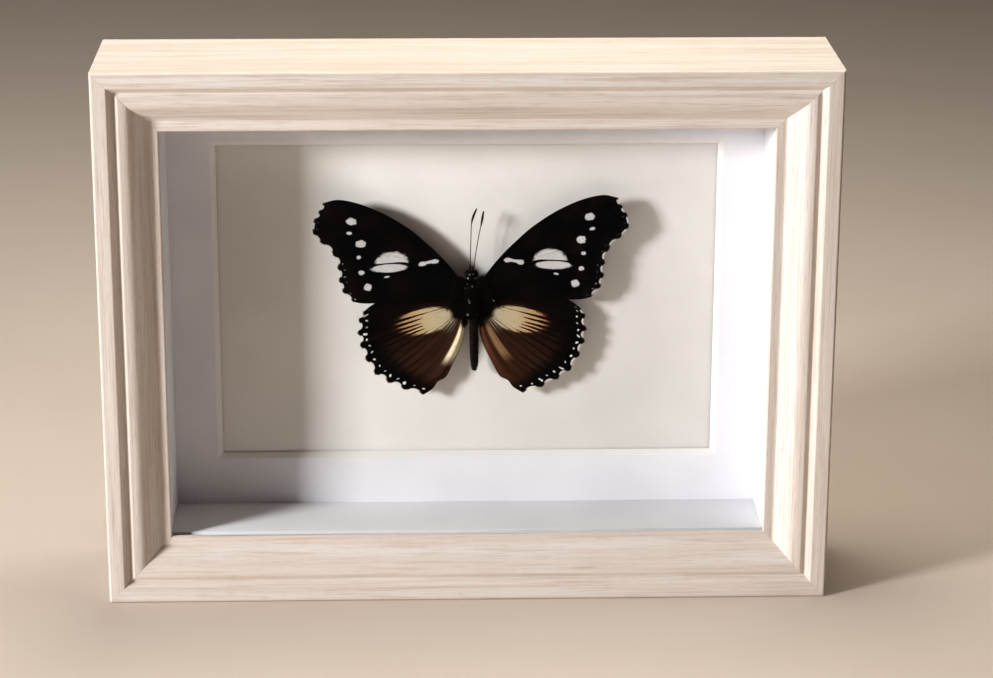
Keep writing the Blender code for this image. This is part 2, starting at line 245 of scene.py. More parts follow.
def solid_mesh(name: str, points: np.ndarray, *face_sets: np.ndarray) -> bpy.types.Mesh:
    """Makes a mesh whose faces look outwards.

    Args:
        name: The mesh's name.
        points: Vertex places in metres.
        face_sets: Arrays of faces, each wound the same way as the rest.

    Returns:
        The smooth-shaded mesh.
    """
    volume = 0.0
    for faces in face_sets:
        for k in range(1, faces.shape[1] - 1):
            turned = np.cross(points[faces[:, k]], points[faces[:, k + 1]])
            volume += float(np.einsum("ij,ij->", points[faces[:, 0]], turned))
    ordered = [faces[:, ::-1] if volume < 0 else faces for faces in face_sets]
    mesh = bpy.data.meshes.new(name)
    mesh.from_pydata(points.tolist(), [], [face for faces in ordered for face in faces.tolist()])
    mesh.shade_smooth()
    return mesh


def note(mesh: bpy.types.Mesh, name: str, values: np.ndarray) -> None:
    """Stores one number or one vector at each vertex, for the finish to read.

    Args:
        mesh: The mesh.
        name: The attribute's name.
        values: One row a vertex; three columns make a vector.
    """
    kind, key = ("FLOAT_VECTOR", "vector") if values.ndim == 2 else ("FLOAT", "value")
    mesh.attributes.new(name, kind, "POINT").data.foreach_set(key, values.astype(np.float32).ravel())


def sharpen(mesh: bpy.types.Mesh, degrees: float) -> None:
    """Keeps edges sharper than this angle crisp."""
    mesh.set_sharp_from_angle(angle=math.radians(degrees))


def show(
    name: str,
    mesh: bpy.types.Mesh,
    finish: Material,
    stands_for: Iterable[str] = (),
) -> bpy.types.Object:
    """Puts a piece into the scene and ties it to the frame.

    Args:
        name: The piece's name.
        mesh: Its mesh, in place in metres.
        finish: Its material.
        stands_for: CAD nodes that it is shown instead of.

    Returns:
        The new object.
    """
    mesh.materials.append(finish)
    piece = bpy.data.objects.new(name, mesh)
    bpy.context.scene.collection.objects.link(piece)
    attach(piece, BODY)
    nodes = list(stands_for)
    if nodes:
        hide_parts(*nodes)
    LOG.info("%s: %d faces", name, len(mesh.polygons))
    return piece


def dress_node(node: str, finish: Material, edge: float) -> None:
    """Gives a CAD node its finish and softens its edges.

    Args:
        node: The CAD node's name.
        finish: Its material.
        edge: Width of the softened edge in metres.
    """
    piece = frame["nodes"][node]
    piece.data.materials.clear()
    piece.data.materials.append(finish)
    bevel = piece.modifiers.new("soft_edge", "BEVEL")
    bevel.width = edge
    bevel.segments = 2
    bevel.limit_method = "ANGLE"
    bevel.angle_limit = math.radians(35)
    bevel.harden_normals = False
    LOG.info("%s: kept from the frame", node)


def block_mesh(name: str, low: Vector, high: Vector, edge: float, steps: int = 2) -> bpy.types.Mesh:
    """Makes a sawn block with slightly rounded edges.

    Args:
        name: The mesh's name.
        low: Lowest corner.
        high: Highest corner.
        edge: Radius of the edges.
        steps: Facets across each rounded edge.

    Returns:
        The mesh.
    """
    bm = bmesh.new()
    bmesh.ops.create_cube(bm, size=1.0)
    for vertex in bm.verts:
        share = vertex.co + Vector((0.5, 0.5, 0.5))
        vertex.co = Vector(low[k] + share[k] * (high[k] - low[k]) for k in range(3))
    bmesh.ops.bevel(
        bm, geom=list(bm.edges), offset=edge, segments=steps, profile=0.5, affect="EDGES"
    )
    mesh = bpy.data.meshes.new(name)
    bm.to_mesh(mesh)
    bm.free()
    mesh.shade_smooth()
    sharpen(mesh, 50)
    return mesh


class Paint:
    """A material's node tree, written with short calls."""

    def __init__(self, name: str, **constants: Feed) -> None:
        """Starts a Principled material.

        Args:
            name: The material's name.
            constants: Values that are the same all over, by the shader's socket name, with
                underscores for spaces.
        """
        self.material = bpy.data.materials.new(name)
        self.material.use_nodes = True
        self.tree = self.material.node_tree
        self.shader = self.tree.nodes["Principled BSDF"]
        self.output = self.tree.nodes["Material Output"]
        self.set(**constants)

    def set(self, **values: Feed) -> None:
        """Sets or links the shader's sockets, named with underscores for spaces."""
        self.feed(self.shader, {key.replace("_", " "): value for key, value in values.items()})

    def feed(self, node: bpy.types.Node, values: dict) -> None:
        """Sets or links a node's inputs.

        Args:
            node: The node.
            values: Input index or name to value or socket.
        """
        for key, value in values.items():
            if isinstance(value, Socket):
                self.tree.links.new(value, node.inputs[key])
            else:
                node.inputs[key].default_value = value

    def node(self, kind: str, values: dict, **settings: object) -> bpy.types.Node:
        """Adds a node.

        Args:
            kind: The node's type without its prefix.
            values: Input index or name to value or socket.
            settings: Properties of the node.

        Returns:
            The node.
        """
        made = self.tree.nodes.new("ShaderNode" + kind)
        for key, value in settings.items():
            setattr(made, key, value)
        self.feed(made, values)
        return made

    def math(self, operation: str, one: Feed, other: Feed = 0.0, third: Feed = 0.0) -> Socket:
        """Works out one number from up to three."""
        return self.node("Math", {0: one, 1: other, 2: third}, operation=operation).outputs[0]

    def times(self, first: Feed, *shares: Feed) -> Socket:
        """Multiplies numbers from left to right.

        Args:
            first: The first number.
            shares: The numbers to multiply it by.

        Returns:
            The product.
        """
        product = first
        for share in shares:
            product = self.math("MULTIPLY", product, share)
        return product

    def vector(self, operation: str, one: Feed, other: Feed = (0.0, 0.0, 0.0)) -> bpy.types.Node:
        """Adds a vector calculation and returns its node."""
        return self.node("VectorMath", {0: one, 1: other}, operation=operation)

    def stretch(self, where: Feed, scale: tuple, shift: tuple = (0.0, 0.0, 0.0)) -> Socket:
        """Scales and then shifts a place, axis by axis."""
        values = {0: where, 1: scale, 2: shift}
        return self.node("VectorMath", values, operation="MULTIPLY_ADD").outputs[0]

    def place(self) -> Socket:
        """The place on the object, in metres."""
        return self.node("TexCoord", {}).outputs["Object"]

    def read(self, name: str, vector: bool = False) -> Socket:
        """A number or vector stored at the vertices."""
        made = self.node("Attribute", {}, attribute_name=name)
        return made.outputs["Vector" if vector else "Fac"]

    def noise(
        self, where: Feed, scale: float = 1.0, detail: float = 2.0, roughness: float = 0.5
    ) -> Socket:
        """Soft random patches, about 0.5 on average.

        Args:
            where: The place.
            scale: Patches in one unit of the place.
            detail: How many finer layers are added.
            roughness: How strong each finer layer is.

        Returns:
            The number.
        """
        made = self.node("TexNoise", {"Scale": scale, "Detail": detail, "Roughness": roughness})
        self.feed(made, {"Vector": where})
        return made.outputs[0]

    def cells(self, where: Feed, scale: float = 1.0, feature: str = "F1") -> Socket:
        """Distance to the middle of random cells."""
        made = self.node("TexVoronoi", {"Vector": where, "Scale": scale}, feature=feature)
        return made.outputs["Distance"]

    def span(
        self, value: Feed, low: float, high: float, start: Feed = 0.0, end: Feed = 1.0
    ) -> Socket:
        """Maps low..high smoothly onto start..end and stops at both.

        Args:
            value: The number to map.
            low: The number that gives start.
            high: The number that gives end.
            start: The result at low.
            end: The result at high.

        Returns:
            The mapped number.
        """
        made = self.node(
            "MapRange",
            {"Value": value, "From Min": low, "From Max": high, "To Min": start, "To Max": end},
            interpolation_type="SMOOTHSTEP",
        )
        return made.outputs[0]

    def blend(self, share: Feed, low: Feed, high: Feed) -> Socket:
        """Mixes two colours by a share from 0 to 1."""
        made = self.node("Mix", {0: share, 6: low, 7: high}, data_type="RGBA")
        return made.outputs[2]

    def shade(self, colour: Feed, by: Feed) -> Socket:
        """Multiplies a colour by a number."""
        return self.node("VectorMath", {0: colour, 3: by}, operation="SCALE").outputs[0]

    def relief(self, height: Feed, depth: float) -> None:
        """Feeds a height from 0 to 1 into the shader as bump, depth being its size in metres."""
        made = self.node("Bump", {"Strength": 1.0, "Distance": depth, "Height": height})
        self.set(Normal=made.outputs[0])

    def ellipse(self, where: Feed, spot: "Spot") -> Socket:
        """Distance from a spot's middle: 1 on its outline, less inside.

        Args:
            where: The place in the wing's own millimetres.
            spot: The spot.

        Returns:
            The distance.
        """
        made = self.node(
            "Mapping",
            {
                "Vector": where,
                "Location": (spot.out, spot.up, 0.0),
                "Rotation": (0.0, 0.0, math.radians(spot.tilt)),
                "Scale": (spot.width / 2, spot.height / 2, 1.0),
            },
            vector_type="TEXTURE",
        )
        return self.vector("LENGTH", made.outputs[0]).outputs["Value"]


@dataclass(frozen=True)
class Spot:
    """An oval mark on a wing, in the wing's millimetres; the tilt is in degrees."""

    out: float
    up: float
    width: float
    height: float
    tilt: float = 0.0


# ---------------------------------------------------------------- finishes of the frame


@dataclass(frozen=True)
class WhitewashedWood:
    """Pale straight-grained wood under a thin white wash."""

    pale: Colour = tone(225, 215, 207)
    wash: Colour = tone(234, 228, 223)
    tan: Colour = tone(208, 192, 180)
    line: Colour = tone(182, 160, 146)

    def material(self) -> Material:
        """Builds the finish; the grain runs along the first number of the attribute it reads.

        Returns:
            The finished material.
        """
        paint = Paint("whitewashed_wood", Specular_IOR_Level=0.4)
        grain = paint.read("grain", vector=True)
        sway = paint.noise(paint.stretch(grain, (14.0, 25.0, 7.0)), detail=1.0)
        across = paint.node("CombineXYZ", {1: paint.math("MULTIPLY_ADD", sway, 1.2 * MM, -0.6 * MM)})
        where = paint.vector("ADD", grain, across.outputs[0]).outputs[0]
        broad = paint.noise(paint.stretch(where, (8.0, 210.0, 9.0)), detail=2.0)
        bands = paint.noise(paint.stretch(where, (24.0, 900.0, 9.0)), detail=3.0, roughness=0.65)
        fine = paint.noise(paint.stretch(where, (70.0, 3200.0, 9.0)), detail=2.0, roughness=0.6)
        pores = paint.noise(paint.stretch(where, (210.0, 5600.0, 9.0)), detail=1.0)
        colour = paint.blend(paint.span(broad, 0.36, 0.66), self.pale, self.wash)
        colour = paint.blend(paint.span(bands, 0.48, 0.72, 0.0, 0.75), colour, self.tan)
        colour = paint.blend(paint.span(bands, 0.46, 0.3, 0.0, 0.6), colour, self.wash)
        colour = paint.blend(paint.span(fine, 0.54, 0.74, 0.0, 0.5), colour, self.line)
        colour = paint.blend(paint.span(pores, 0.6, 0.76, 0.0, 0.4), colour, self.line)
        arris = paint.read("arris")
        rubbed = paint.times(arris, paint.span(broad, 0.35, 0.6, 0.05, 0.35))
        colour = paint.blend(rubbed, colour, self.tan)
        height = paint.math("MULTIPLY_ADD", fine, 0.6, paint.times(pores, 0.4))
        paint.set(Base_Color=colour, Roughness=paint.span(bands, 0.3, 0.7, 0.45, 0.62))
        paint.relief(height, 0.05 * MM)
        return paint.material


@dataclass(frozen=True)
class Board:
    """Matt paper-faced board with a fibrous surface."""

    name: str
    face: Colour
    shade: Colour
    core: Colour
    fibre: float = 0.35 * MM

    def material(self) -> Material:
        """Builds the finish; the attribute core marks where the board is cut open.

        Returns:
            The finished material.
        """
        paint = Paint(self.name, Specular_IOR_Level=0.25)
        where = paint.place()
        cloud = paint.noise(where, 45.0, 3.0)
        fibres = paint.noise(where, 1 / self.fibre, 3.0, 0.65)
        fleck = paint.cells(paint.stretch(where, (1.0, 1.0, 2.2)), 0.45 / self.fibre)
        colour = paint.blend(paint.span(cloud, 0.3, 0.7), self.face, self.shade)
        colour = paint.blend(paint.span(fibres, 0.58, 0.8, 0.0, 0.35), colour, self.shade)
        colour = paint.blend(paint.read("core"), colour, self.core)
        paint.set(Base_Color=colour, Roughness=paint.span(fibres, 0.3, 0.7, 0.78, 0.92))
        paint.relief(paint.math("MULTIPLY_ADD", fleck, 0.4, fibres), 0.035 * MM)
        return paint.material


@dataclass(frozen=True)
class PictureGlass:
    """Clear low-reflection glass."""

    clear: Colour = tone(253, 254, 254)
    index: float = 1.1
    roughness: float = 0.02

    def material(self) -> Material:
        """Builds the finish; only the side that faces out mirrors.

        Returns:
            The finished material.
        """
        paint = Paint("picture_glass")
        tree = paint.tree
        tree.nodes.remove(paint.shader)
        through = paint.node("BsdfTransparent", {"Color": self.clear})
        mirror = paint.node("BsdfGlossy", {"Roughness": self.roughness})
        angle = paint.node("Fresnel", {"IOR": self.index}).outputs[0]
        outside = paint.math("SUBTRACT", 1.0, paint.node("NewGeometry", {}).outputs["Backfacing"])
        share = paint.times(angle, outside)
        mixed = paint.node("MixShader", {0: share, 1: through.outputs[0], 2: mirror.outputs[0]})
        paint.feed(paint.output, {"Surface": mixed.outputs[0]})
        return paint.material


@dataclass(frozen=True)
class Hardboard:
    """Pressed brown fibreboard."""

    brown: Colour = tone(139, 104, 74)
    dark: Colour = tone(96, 68, 46)
    straw: Colour = tone(176, 142, 104)

    def material(self) -> Material:
        """Builds the finish.

        Returns:
            The finished material.
        """
        paint = Paint("hardboard", Specular_IOR_Level=0.3)
        where = paint.place()
        cloud = paint.noise(where, 35.0, 6.0, 0.7)
        fibres = paint.noise(paint.stretch(where, (500.0, 700.0, 1900.0)), detail=3.0)
        across = paint.stretch(where, (1900.0, 700.0, 500.0), (3.0, 1.0, 8.0))
        crossing = paint.noise(across, detail=3.0)
        colour = paint.blend(paint.span(cloud, 0.3, 0.75, 0.05, 0.5), self.brown, self.dark)
        colour = paint.blend(paint.span(fibres, 0.58, 0.72, 0.0, 0.7), colour, self.straw)
        colour = paint.blend(paint.span(crossing, 0.6, 0.74, 0.0, 0.7), colour, self.dark)
        paint.set(Base_Color=colour, Roughness=paint.span(fibres, 0.3, 0.7, 0.6, 0.85))
        paint.relief(paint.math("ADD", fibres, crossing), 0.06 * MM)
        return paint.material


@dataclass(frozen=True)
class ZincSteel:
    """Zinc-plated sheet with fine rolling lines."""

    bright: Colour = tone(198, 200, 203)
    dull: Colour = tone(150, 152, 156)

    def material(self) -> Material:
        """Builds the finish.

        Returns:
            The finished material.
        """
        paint = Paint("zinc_steel", Metallic=1.0)
        where = paint.place()
        cloud = paint.noise(where, 260.0, 2.0)
        lines = paint.noise(paint.stretch(where, (300.0, 300.0, 9000.0)), detail=2.0)
        colour = paint.blend(paint.span(cloud, 0.3, 0.75, 0.0, 0.6), self.bright, self.dull)
        roughness = paint.math("MULTIPLY_ADD", lines, 0.15, paint.span(cloud, 0.3, 0.7, 0.22, 0.36))
        paint.set(Base_Color=colour, Roughness=roughness)
        paint.relief(lines, 0.01 * MM)
        return paint.material


@dataclass(frozen=True)
class Cork:
    """Fine pressed cork."""

    warm: Colour = tone(190, 150, 108)
    dark: Colour = tone(116, 80, 50)

    def material(self) -> Material:
        """Builds the finish.

        Returns:
            The finished material.
        """
        paint = Paint("fine_cork", Specular_IOR_Level=0.2)
        where = paint.place()
        grains = paint.cells(where, 1400.0)
        cloud = paint.noise(where, 900.0, 3.0)
        colour = paint.blend(paint.span(grains, 0.1, 0.7), self.warm, self.dark)
        colour = paint.blend(paint.span(cloud, 0.55, 0.75, 0.0, 0.6), colour, self.dark)
        paint.set(Base_Color=colour, Roughness=paint.span(cloud, 0.3, 0.7, 0.8, 0.95))
        paint.relief(grains, 0.12 * MM)
        return paint.material


# ---------------------------------------------------------------- finishes of the butterfly


@dataclass(frozen=True)
class Chitin:
    """Hard dark skin, seen between the scales."""

    name: str
    dark: Colour
    light: Colour
    gloss: float = 0.4

    def material(self) -> Material:
        """Builds the finish.

        Returns:
            The finished material.
        """
        paint = Paint(self.name, Specular_IOR_Level=0.2)
        where = paint.place()
        scales = paint.cells(paint.stretch(where, (1.0, 1.0, 0.55)), 9000.0)
        cloud = paint.noise(where, 1800.0, 3.0)
        colour = paint.blend(paint.span(cloud, 0.4, 0.75), self.dark, self.light)
        rough = paint.span(scales, 0.1, 0.6, self.gloss, self.gloss + 0.3)
        paint.set(Base_Color=colour, Roughness=rough)
        paint.relief(scales, 0.02 * MM)
        return paint.material


@dataclass(frozen=True)
class Hair:
    """Hair or hair-like scales that differ a little from one to the next."""

    name: str
    dark: Colour
    light: Colour
    roughness: float = 0.6

    def material(self) -> Material:
        """Builds the finish; the attribute tint picks each hair's own shade.

        Returns:
            The finished material.
        """
        paint = Paint(self.name, Specular_IOR_Level=0.12)
        tint = paint.read("tint")
        colour = paint.blend(tint, self.dark, self.light)
        paint.set(Base_Color=colour, Roughness=paint.span(tint, 0.0, 1.0, self.roughness, 0.8))
        return paint.material


class WingPaint(Paint):
    """Node calls that both kinds of wing share."""

    def __init__(self, name: str, seed: float) -> None:
        """Reads what the wing stores at its vertices.

        Args:
            name: The material's name.
            seed: Shifts the random patches, so that no two wings match.
        """
        super().__init__(name, Specular_IOR_Level=0.04)
        self.plane = self.read("plane", vector=True)
        self.strand = self.read("strand")
        self.pitch = self.read("pitch")
        self.edge = self.read("edge")
        self.seeded = self.stretch(self.plane, (1.0, 1.0, 1.0), (seed, 1.7 * seed, 0.6 * seed))
        self.ragged = self.noise(self.seeded, 3.2, 3.0, 0.6)
        self.scales = self.noise(self.seeded, 9.0, 2.0)
        self.fold = self.off_cell(0.0)

    def off_cell(self, shift: float) -> Socket:
        """How far across its cell a point is: 0 in the middle, 0.5 at a vein.

        Args:
            shift: 0 to measure from the cell's middle, 0.5 to measure from the veins.

        Returns:
            The share of a cell.
        """
        part = self.math("FRACT", self.math("ADD", self.strand, shift))
        return self.math("ABSOLUTE", self.math("SUBTRACT", part, 0.5))

    def vein_gap(self) -> Socket:
        """Millimetres to the nearest vein."""
        return self.times(self.off_cell(0.5), self.pitch)

    def spots(self, marks: Sequence[Spot], rough: float) -> Socket:
        """Joins oval marks into one mask with a ragged outline.

        Args:
            marks: The marks.
            rough: How far the outline wanders, as a share of the mark's size.

        Returns:
            1 inside a mark and 0 outside.
        """
        nearest: Feed = 9.0
        for mark in marks:
            nearest = self.math("MINIMUM", nearest, self.ellipse(self.plane, mark))
        wobble = self.math("ADD", self.noise(self.seeded, 1.1, 1.0), self.ragged)
        wander = self.math("MULTIPLY_ADD", wobble, rough, -rough)
        return self.span(self.math("ADD", nearest, wander), 1.1, 0.88)

    def paired_dots(self, inside: float, apart: float, size: float) -> Socket:
        """Two dots in each cell along the outer margin.

        Args:
            inside: Millimetres from the margin to the dots.
            apart: Share of a cell from its middle to a dot.
            size: A dot's radius in millimetres.

        Returns:
            1 inside a dot and 0 outside.
        """
        across = self.times(self.math("SUBTRACT", self.fold, apart), self.pitch)
        wander = self.noise(self.seeded, 0.35, 0.0)
        middle = self.span(wander, 0.3, 0.7, inside - 0.4, inside + 0.4)
        depth = self.math("SUBTRACT", self.edge, middle)
        square = self.math("MULTIPLY_ADD", across, across, self.times(depth, depth))
        reach = self.math("ADD", self.math("SQRT", square), self.span(wander, 0.35, 0.65, -0.08, 0.1))
        return self.span(reach, size * 1.15, size * 0.8)

    def notch_fringe(self) -> Socket:
        """The pale fringe in the notches of the margin."""
        return self.times(self.span(self.fold, 0.3, 0.2), self.span(self.edge, 0.42, 0.22))

    def finish(self, colour: Feed, pale: Feed) -> Material:
        """Adds the weave of the scales and the duller underside.

        Args:
            colour: The upper side's colour.
            pale: 1 where the marks are pale and 0 where they are dark.

        Returns:
            The finished material.
        """
        grain = self.span(self.scales, 0.25, 0.75, 0.62, 1.3)
        colour = self.shade(colour, grain)
        under = self.times(self.read("under"), 0.35)
        colour = self.blend(under, colour, tone(104, 82, 66))
        self.set(Base_Color=colour, Roughness=self.span(pale, 0.0, 1.0, 0.62, 0.85))
        self.relief(self.scales, 0.03 * MM)
        return self.material


@dataclass(frozen=True)
class ForewingScales:
    """Black wing with white spots, a split patch and a bar in the cell."""

    hand: Hand
    black: Colour = tone(9, 8, 9)
    brown: Colour = tone(26, 17, 13)
    white: Colour = tone(218, 215, 217)
    spots: tuple[Spot, ...] = (
        Spot(34.45, 24.8, 2.9, 2.2, 6),
        Spot(35.15, 21.25, 1.6, 0.95, 8),
        Spot(31.9, 17.9, 2.9, 2.2, 4),
        Spot(32.6, 13.8, 1.3, 1.1),
        Spot(31.95, 9.2, 1.7, 1.3),
        Spot(30.15, 4.65, 2.3, 2.1),
        Spot(10.6, 12.1, 2.3, 1.4, -8),
        Spot(12.2, 11.9, 3.2, 0.9, -14),
        Spot(14.1, 11.45, 2.3, 1.5, -10),
        Spot(24.6, 7.7, 1.7, 0.6, -12),
    )
    upper_lobe: Spot = Spot(23.0, 11.9, 9.6, 6.6, -3)
    lower_lobe: Spot = Spot(23.8, 10.35, 10.4, 2.5, -2)
    patch_vein: float = 6.0  # the vein that splits the patch

    def material(self) -> Material:
        """Builds the finish.

        Returns:
            The finished material.
        """
        paint = WingPaint(f"forewing_{self.hand.name.lower()}_scales", 7.3 * self.hand.value)
        cloud = paint.noise(paint.seeded, 0.16, 3.0)
        colour = paint.blend(paint.span(cloud, 0.42, 0.75, 0.0, 0.8), self.black, self.brown)
        colour = paint.blend(paint.span(paint.edge, 2.6, 0.2, 0.0, 0.3), colour, self.brown)
        above = paint.math("LESS_THAN", paint.strand, self.patch_vein)
        lobes = paint.math(
            "MAXIMUM",
            paint.times(above, paint.spots((self.upper_lobe,), 0.34)),
            paint.times(paint.math("SUBTRACT", 1.0, above), paint.spots((self.lower_lobe,), 0.3)),
        )
        off_vein = paint.math("ABSOLUTE", paint.math("SUBTRACT", paint.strand, self.patch_vein))
        faint = paint.times(paint.span(paint.vein_gap(), 0.12, 0.04), 0.35)
        clear_of_vein = paint.times(
            paint.span(paint.times(off_vein, paint.pitch), 0.1, 0.26),
            paint.math("SUBTRACT", 1.0, faint),
        )
        white = paint.times(lobes, clear_of_vein)
        white = paint.math("MAXIMUM", white, paint.spots(self.spots, 0.75))
        shown = paint.span(paint.strand, 4.0, 7.5, 0.1, 0.55)
        specks = paint.times(paint.paired_dots(1.5, 0.27, 0.17), shown)
        white = paint.math("MAXIMUM", white, specks)
        speckle = paint.span(paint.noise(paint.seeded, 5.5, 1.0), 0.6, 0.72, 1.0, 0.4)
        white = paint.math("MAXIMUM", paint.times(white, speckle), paint.notch_fringe())
        return paint.finish(paint.blend(white, colour, self.white), white)


@dataclass(frozen=True)
class InnerFold:
    """The pale fold along a hindwing's inner margin; low and high are strands of the wing. The tint is
    its pale scales with painted light in them: a painted highlight on the left wing's fold and painted
    shade on the right wing's.
    """

    low: float
    high: float
    tint: Colour
    beyond: Colour


@dataclass(frozen=True)
class HindwingScales:
    """Brown-black wing with a rayed cream patch, a pale inner fold and paired white dots."""

    hand: Hand
    inner: InnerFold
    black: Colour = tone(13, 10, 9)
    brown: Colour = tone(62, 40, 28)
    russet: Colour = tone(92, 53, 31)
    cream: Colour = tone(207, 189, 156)
    green_cream: Colour = tone(200, 191, 165)
    tan: Colour = tone(203, 169, 127)
    rose: Colour = tone(164, 108, 80)
    white: Colour = tone(236, 232, 226)
    patch: Spot = Spot(13.9, -6.35, 17.2, 8.0, -11)
    root: Spot = Spot(2.7, -1.0, 2.0, 2.0)

    def line_gap(self, paint: WingPaint) -> Socket:
        """Works out how near the closest vein is, or the fold between two veins.

        Args:
            paint: The wing's paint.

        Returns:
            The distance in millimetres.
        """
        doubled = paint.math("FRACT", paint.times(paint.strand, 2.0))
        off_middle = paint.math("ABSOLUTE", paint.math("SUBTRACT", doubled, 0.5))
        return paint.times(paint.math("SUBTRACT", 0.5, off_middle), 0.5, paint.pitch)

    def dark_lines(self, paint: WingPaint, outer: Feed) -> Socket:
        """Dark lines along the veins and folds, widening outwards.

        Args:
            paint: The wing's paint.
            outer: 0 in the cell, growing to 1 at the far end of the patch.

        Returns:
            1 on a line and 0 between.
        """
        wander = paint.math("MULTIPLY_ADD", paint.ragged, 0.3, -0.15)
        gap = paint.math("ADD", self.line_gap(paint), wander)
        width = paint.math("MULTIPLY_ADD", outer, 0.36, 0.09)
        lines = paint.span(paint.math("DIVIDE", gap, width), 1.35, 0.55)
        raised = paint.times(paint.read("rib"), 0.7)
        return paint.times(lines, paint.math("MAXIMUM", paint.span(outer, 0.02, 0.22), raised))

    def ground(self, paint: WingPaint, lines: Feed, root_gap: Feed) -> Socket:
        """The brown ground that darkens towards the margins and the body.

        Args:
            paint: The wing's paint.
            lines: 1 on the dark lines.
            root_gap: Millimetres from the wing's root.

        Returns:
            The colour.
        """
        ridges = paint.node("CombineXYZ", {0: paint.times(paint.strand, 9.0)})
        drift = paint.stretch(paint.seeded, (0.12, 0.12, 0.12))
        streaks = paint.noise(paint.vector("ADD", ridges.outputs[0], drift).outputs[0], 1.0, 2.0)
        brownness = paint.times(
            paint.span(paint.edge, 1.8, 9.0),
            paint.span(paint.strand, 2.2, 6.2, 0.1, 1.15),
            paint.span(streaks, 0.3, 0.68, 0.5, 1.2),
            paint.math("MULTIPLY_ADD", lines, -0.7, 1.0),
        )
        beyond = paint.times(
            paint.span(paint.strand, 6.5, 7.6),
            paint.span(root_gap, 4.0, 8.0),
            paint.span(root_gap, 22.5, 12.0, 0.25, 0.85),
        )
        colour = paint.blend(brownness, self.black, self.brown)
        return paint.blend(beyond, colour, self.inner.beyond)

    def strip(self, paint: WingPaint, root_gap: Feed) -> Socket:
        """Works out where the inner fold shows its pale scales.

        Args:
            paint: The wing's paint.
            root_gap: Millimetres from the wing's root.

        Returns:
            1 on the pale strip and 0 off it.
        """
        low, high = self.inner.low, self.inner.high
        along = paint.times(paint.span(root_gap, 4.5, 9.0), paint.span(root_gap, 20.5, 16.0))
        return paint.times(
            paint.span(paint.strand, low, low + 0.16),
            paint.span(paint.strand, high, high - 0.12),
            along,
            paint.span(paint.ragged, 0.3, 0.6, 0.75, 1.0),
        )

    def material(self) -> Material:
        """Builds the finish.

        Returns:
            The finished material.
        """
        paint = WingPaint(f"hindwing_{self.hand.name.lower()}_scales", 4.9 * self.hand.value + 2.0)
        root_gap = paint.ellipse(paint.plane, self.root)
        out = paint.node("SeparateXYZ", {0: paint.plane}).outputs[0]
        outer = paint.span(out, 10.5, 24.0)
        lines = self.dark_lines(paint, outer)
        inside = paint.math("SUBTRACT", 1.0, paint.ellipse(paint.plane, self.patch))
        wander = paint.math("MULTIPLY_ADD", paint.ragged, 0.5, -0.25)
        field = paint.math("ADD", inside, wander)
        cut = paint.times(lines, paint.span(outer, 0.0, 0.6, 0.45, 1.2))
        cream = paint.span(paint.math("SUBTRACT", field, cut), -0.04, 0.12)
        colour = self.ground(paint, lines, root_gap)
        off_line = paint.math("MULTIPLY_ADD", lines, -0.5, 0.6)
        halo = paint.times(paint.span(field, -0.2, 0.08), off_line)
        colour = paint.blend(halo, colour, self.russet)
        pale = paint.blend(paint.span(out, 11.0, 19.0), self.cream, self.tan)
        pale = paint.blend(paint.span(out, 18.5, 23.0), pale, self.rose)
        pale = paint.blend(paint.span(out, 12.0, 6.0, 0.0, 0.8), pale, self.green_cream)
        colour = paint.blend(cream, colour, pale)
        rays = paint.times(
            paint.span(paint.strand, 4.9, 5.15),
            paint.span(paint.strand, 7.0, 6.4),
            paint.span(root_gap, 11.5, 4.5, 0.0, 0.8),
            paint.span(self.line_gap(paint), 0.06, 0.3),
            paint.span(paint.ragged, 0.35, 0.6, 0.5, 1.0),
        )
        colour = paint.blend(rays, colour, self.green_cream)
        # The inner fold's tint holds painted light: a painted highlight on the left wing and painted
        # shade on the right.
        colour = paint.blend(self.strip(paint, root_gap), colour, self.inner.tint)
        colour = paint.blend(paint.span(root_gap, 25.0, 28.8, 0.0, 0.85), colour, self.black)
        colour = paint.blend(paint.span(root_gap, 4.9, 2.6), colour, self.black)
        dots = paint.math("MAXIMUM", paint.paired_dots(1.7, 0.25, 0.38), paint.notch_fringe())
        dots = paint.times(dots, paint.span(paint.strand, 0.2, 0.5))
        colour = paint.blend(dots, colour, self.white)
        return paint.finish(colour, paint.math("MAXIMUM", cream, dots))


# ---------------------------------------------------------------- the box


@dataclass(frozen=True)
class SectionPoint:
    """A point of the moulding's section."""

    inward: float
    behind: float
    run: float
    arris: float


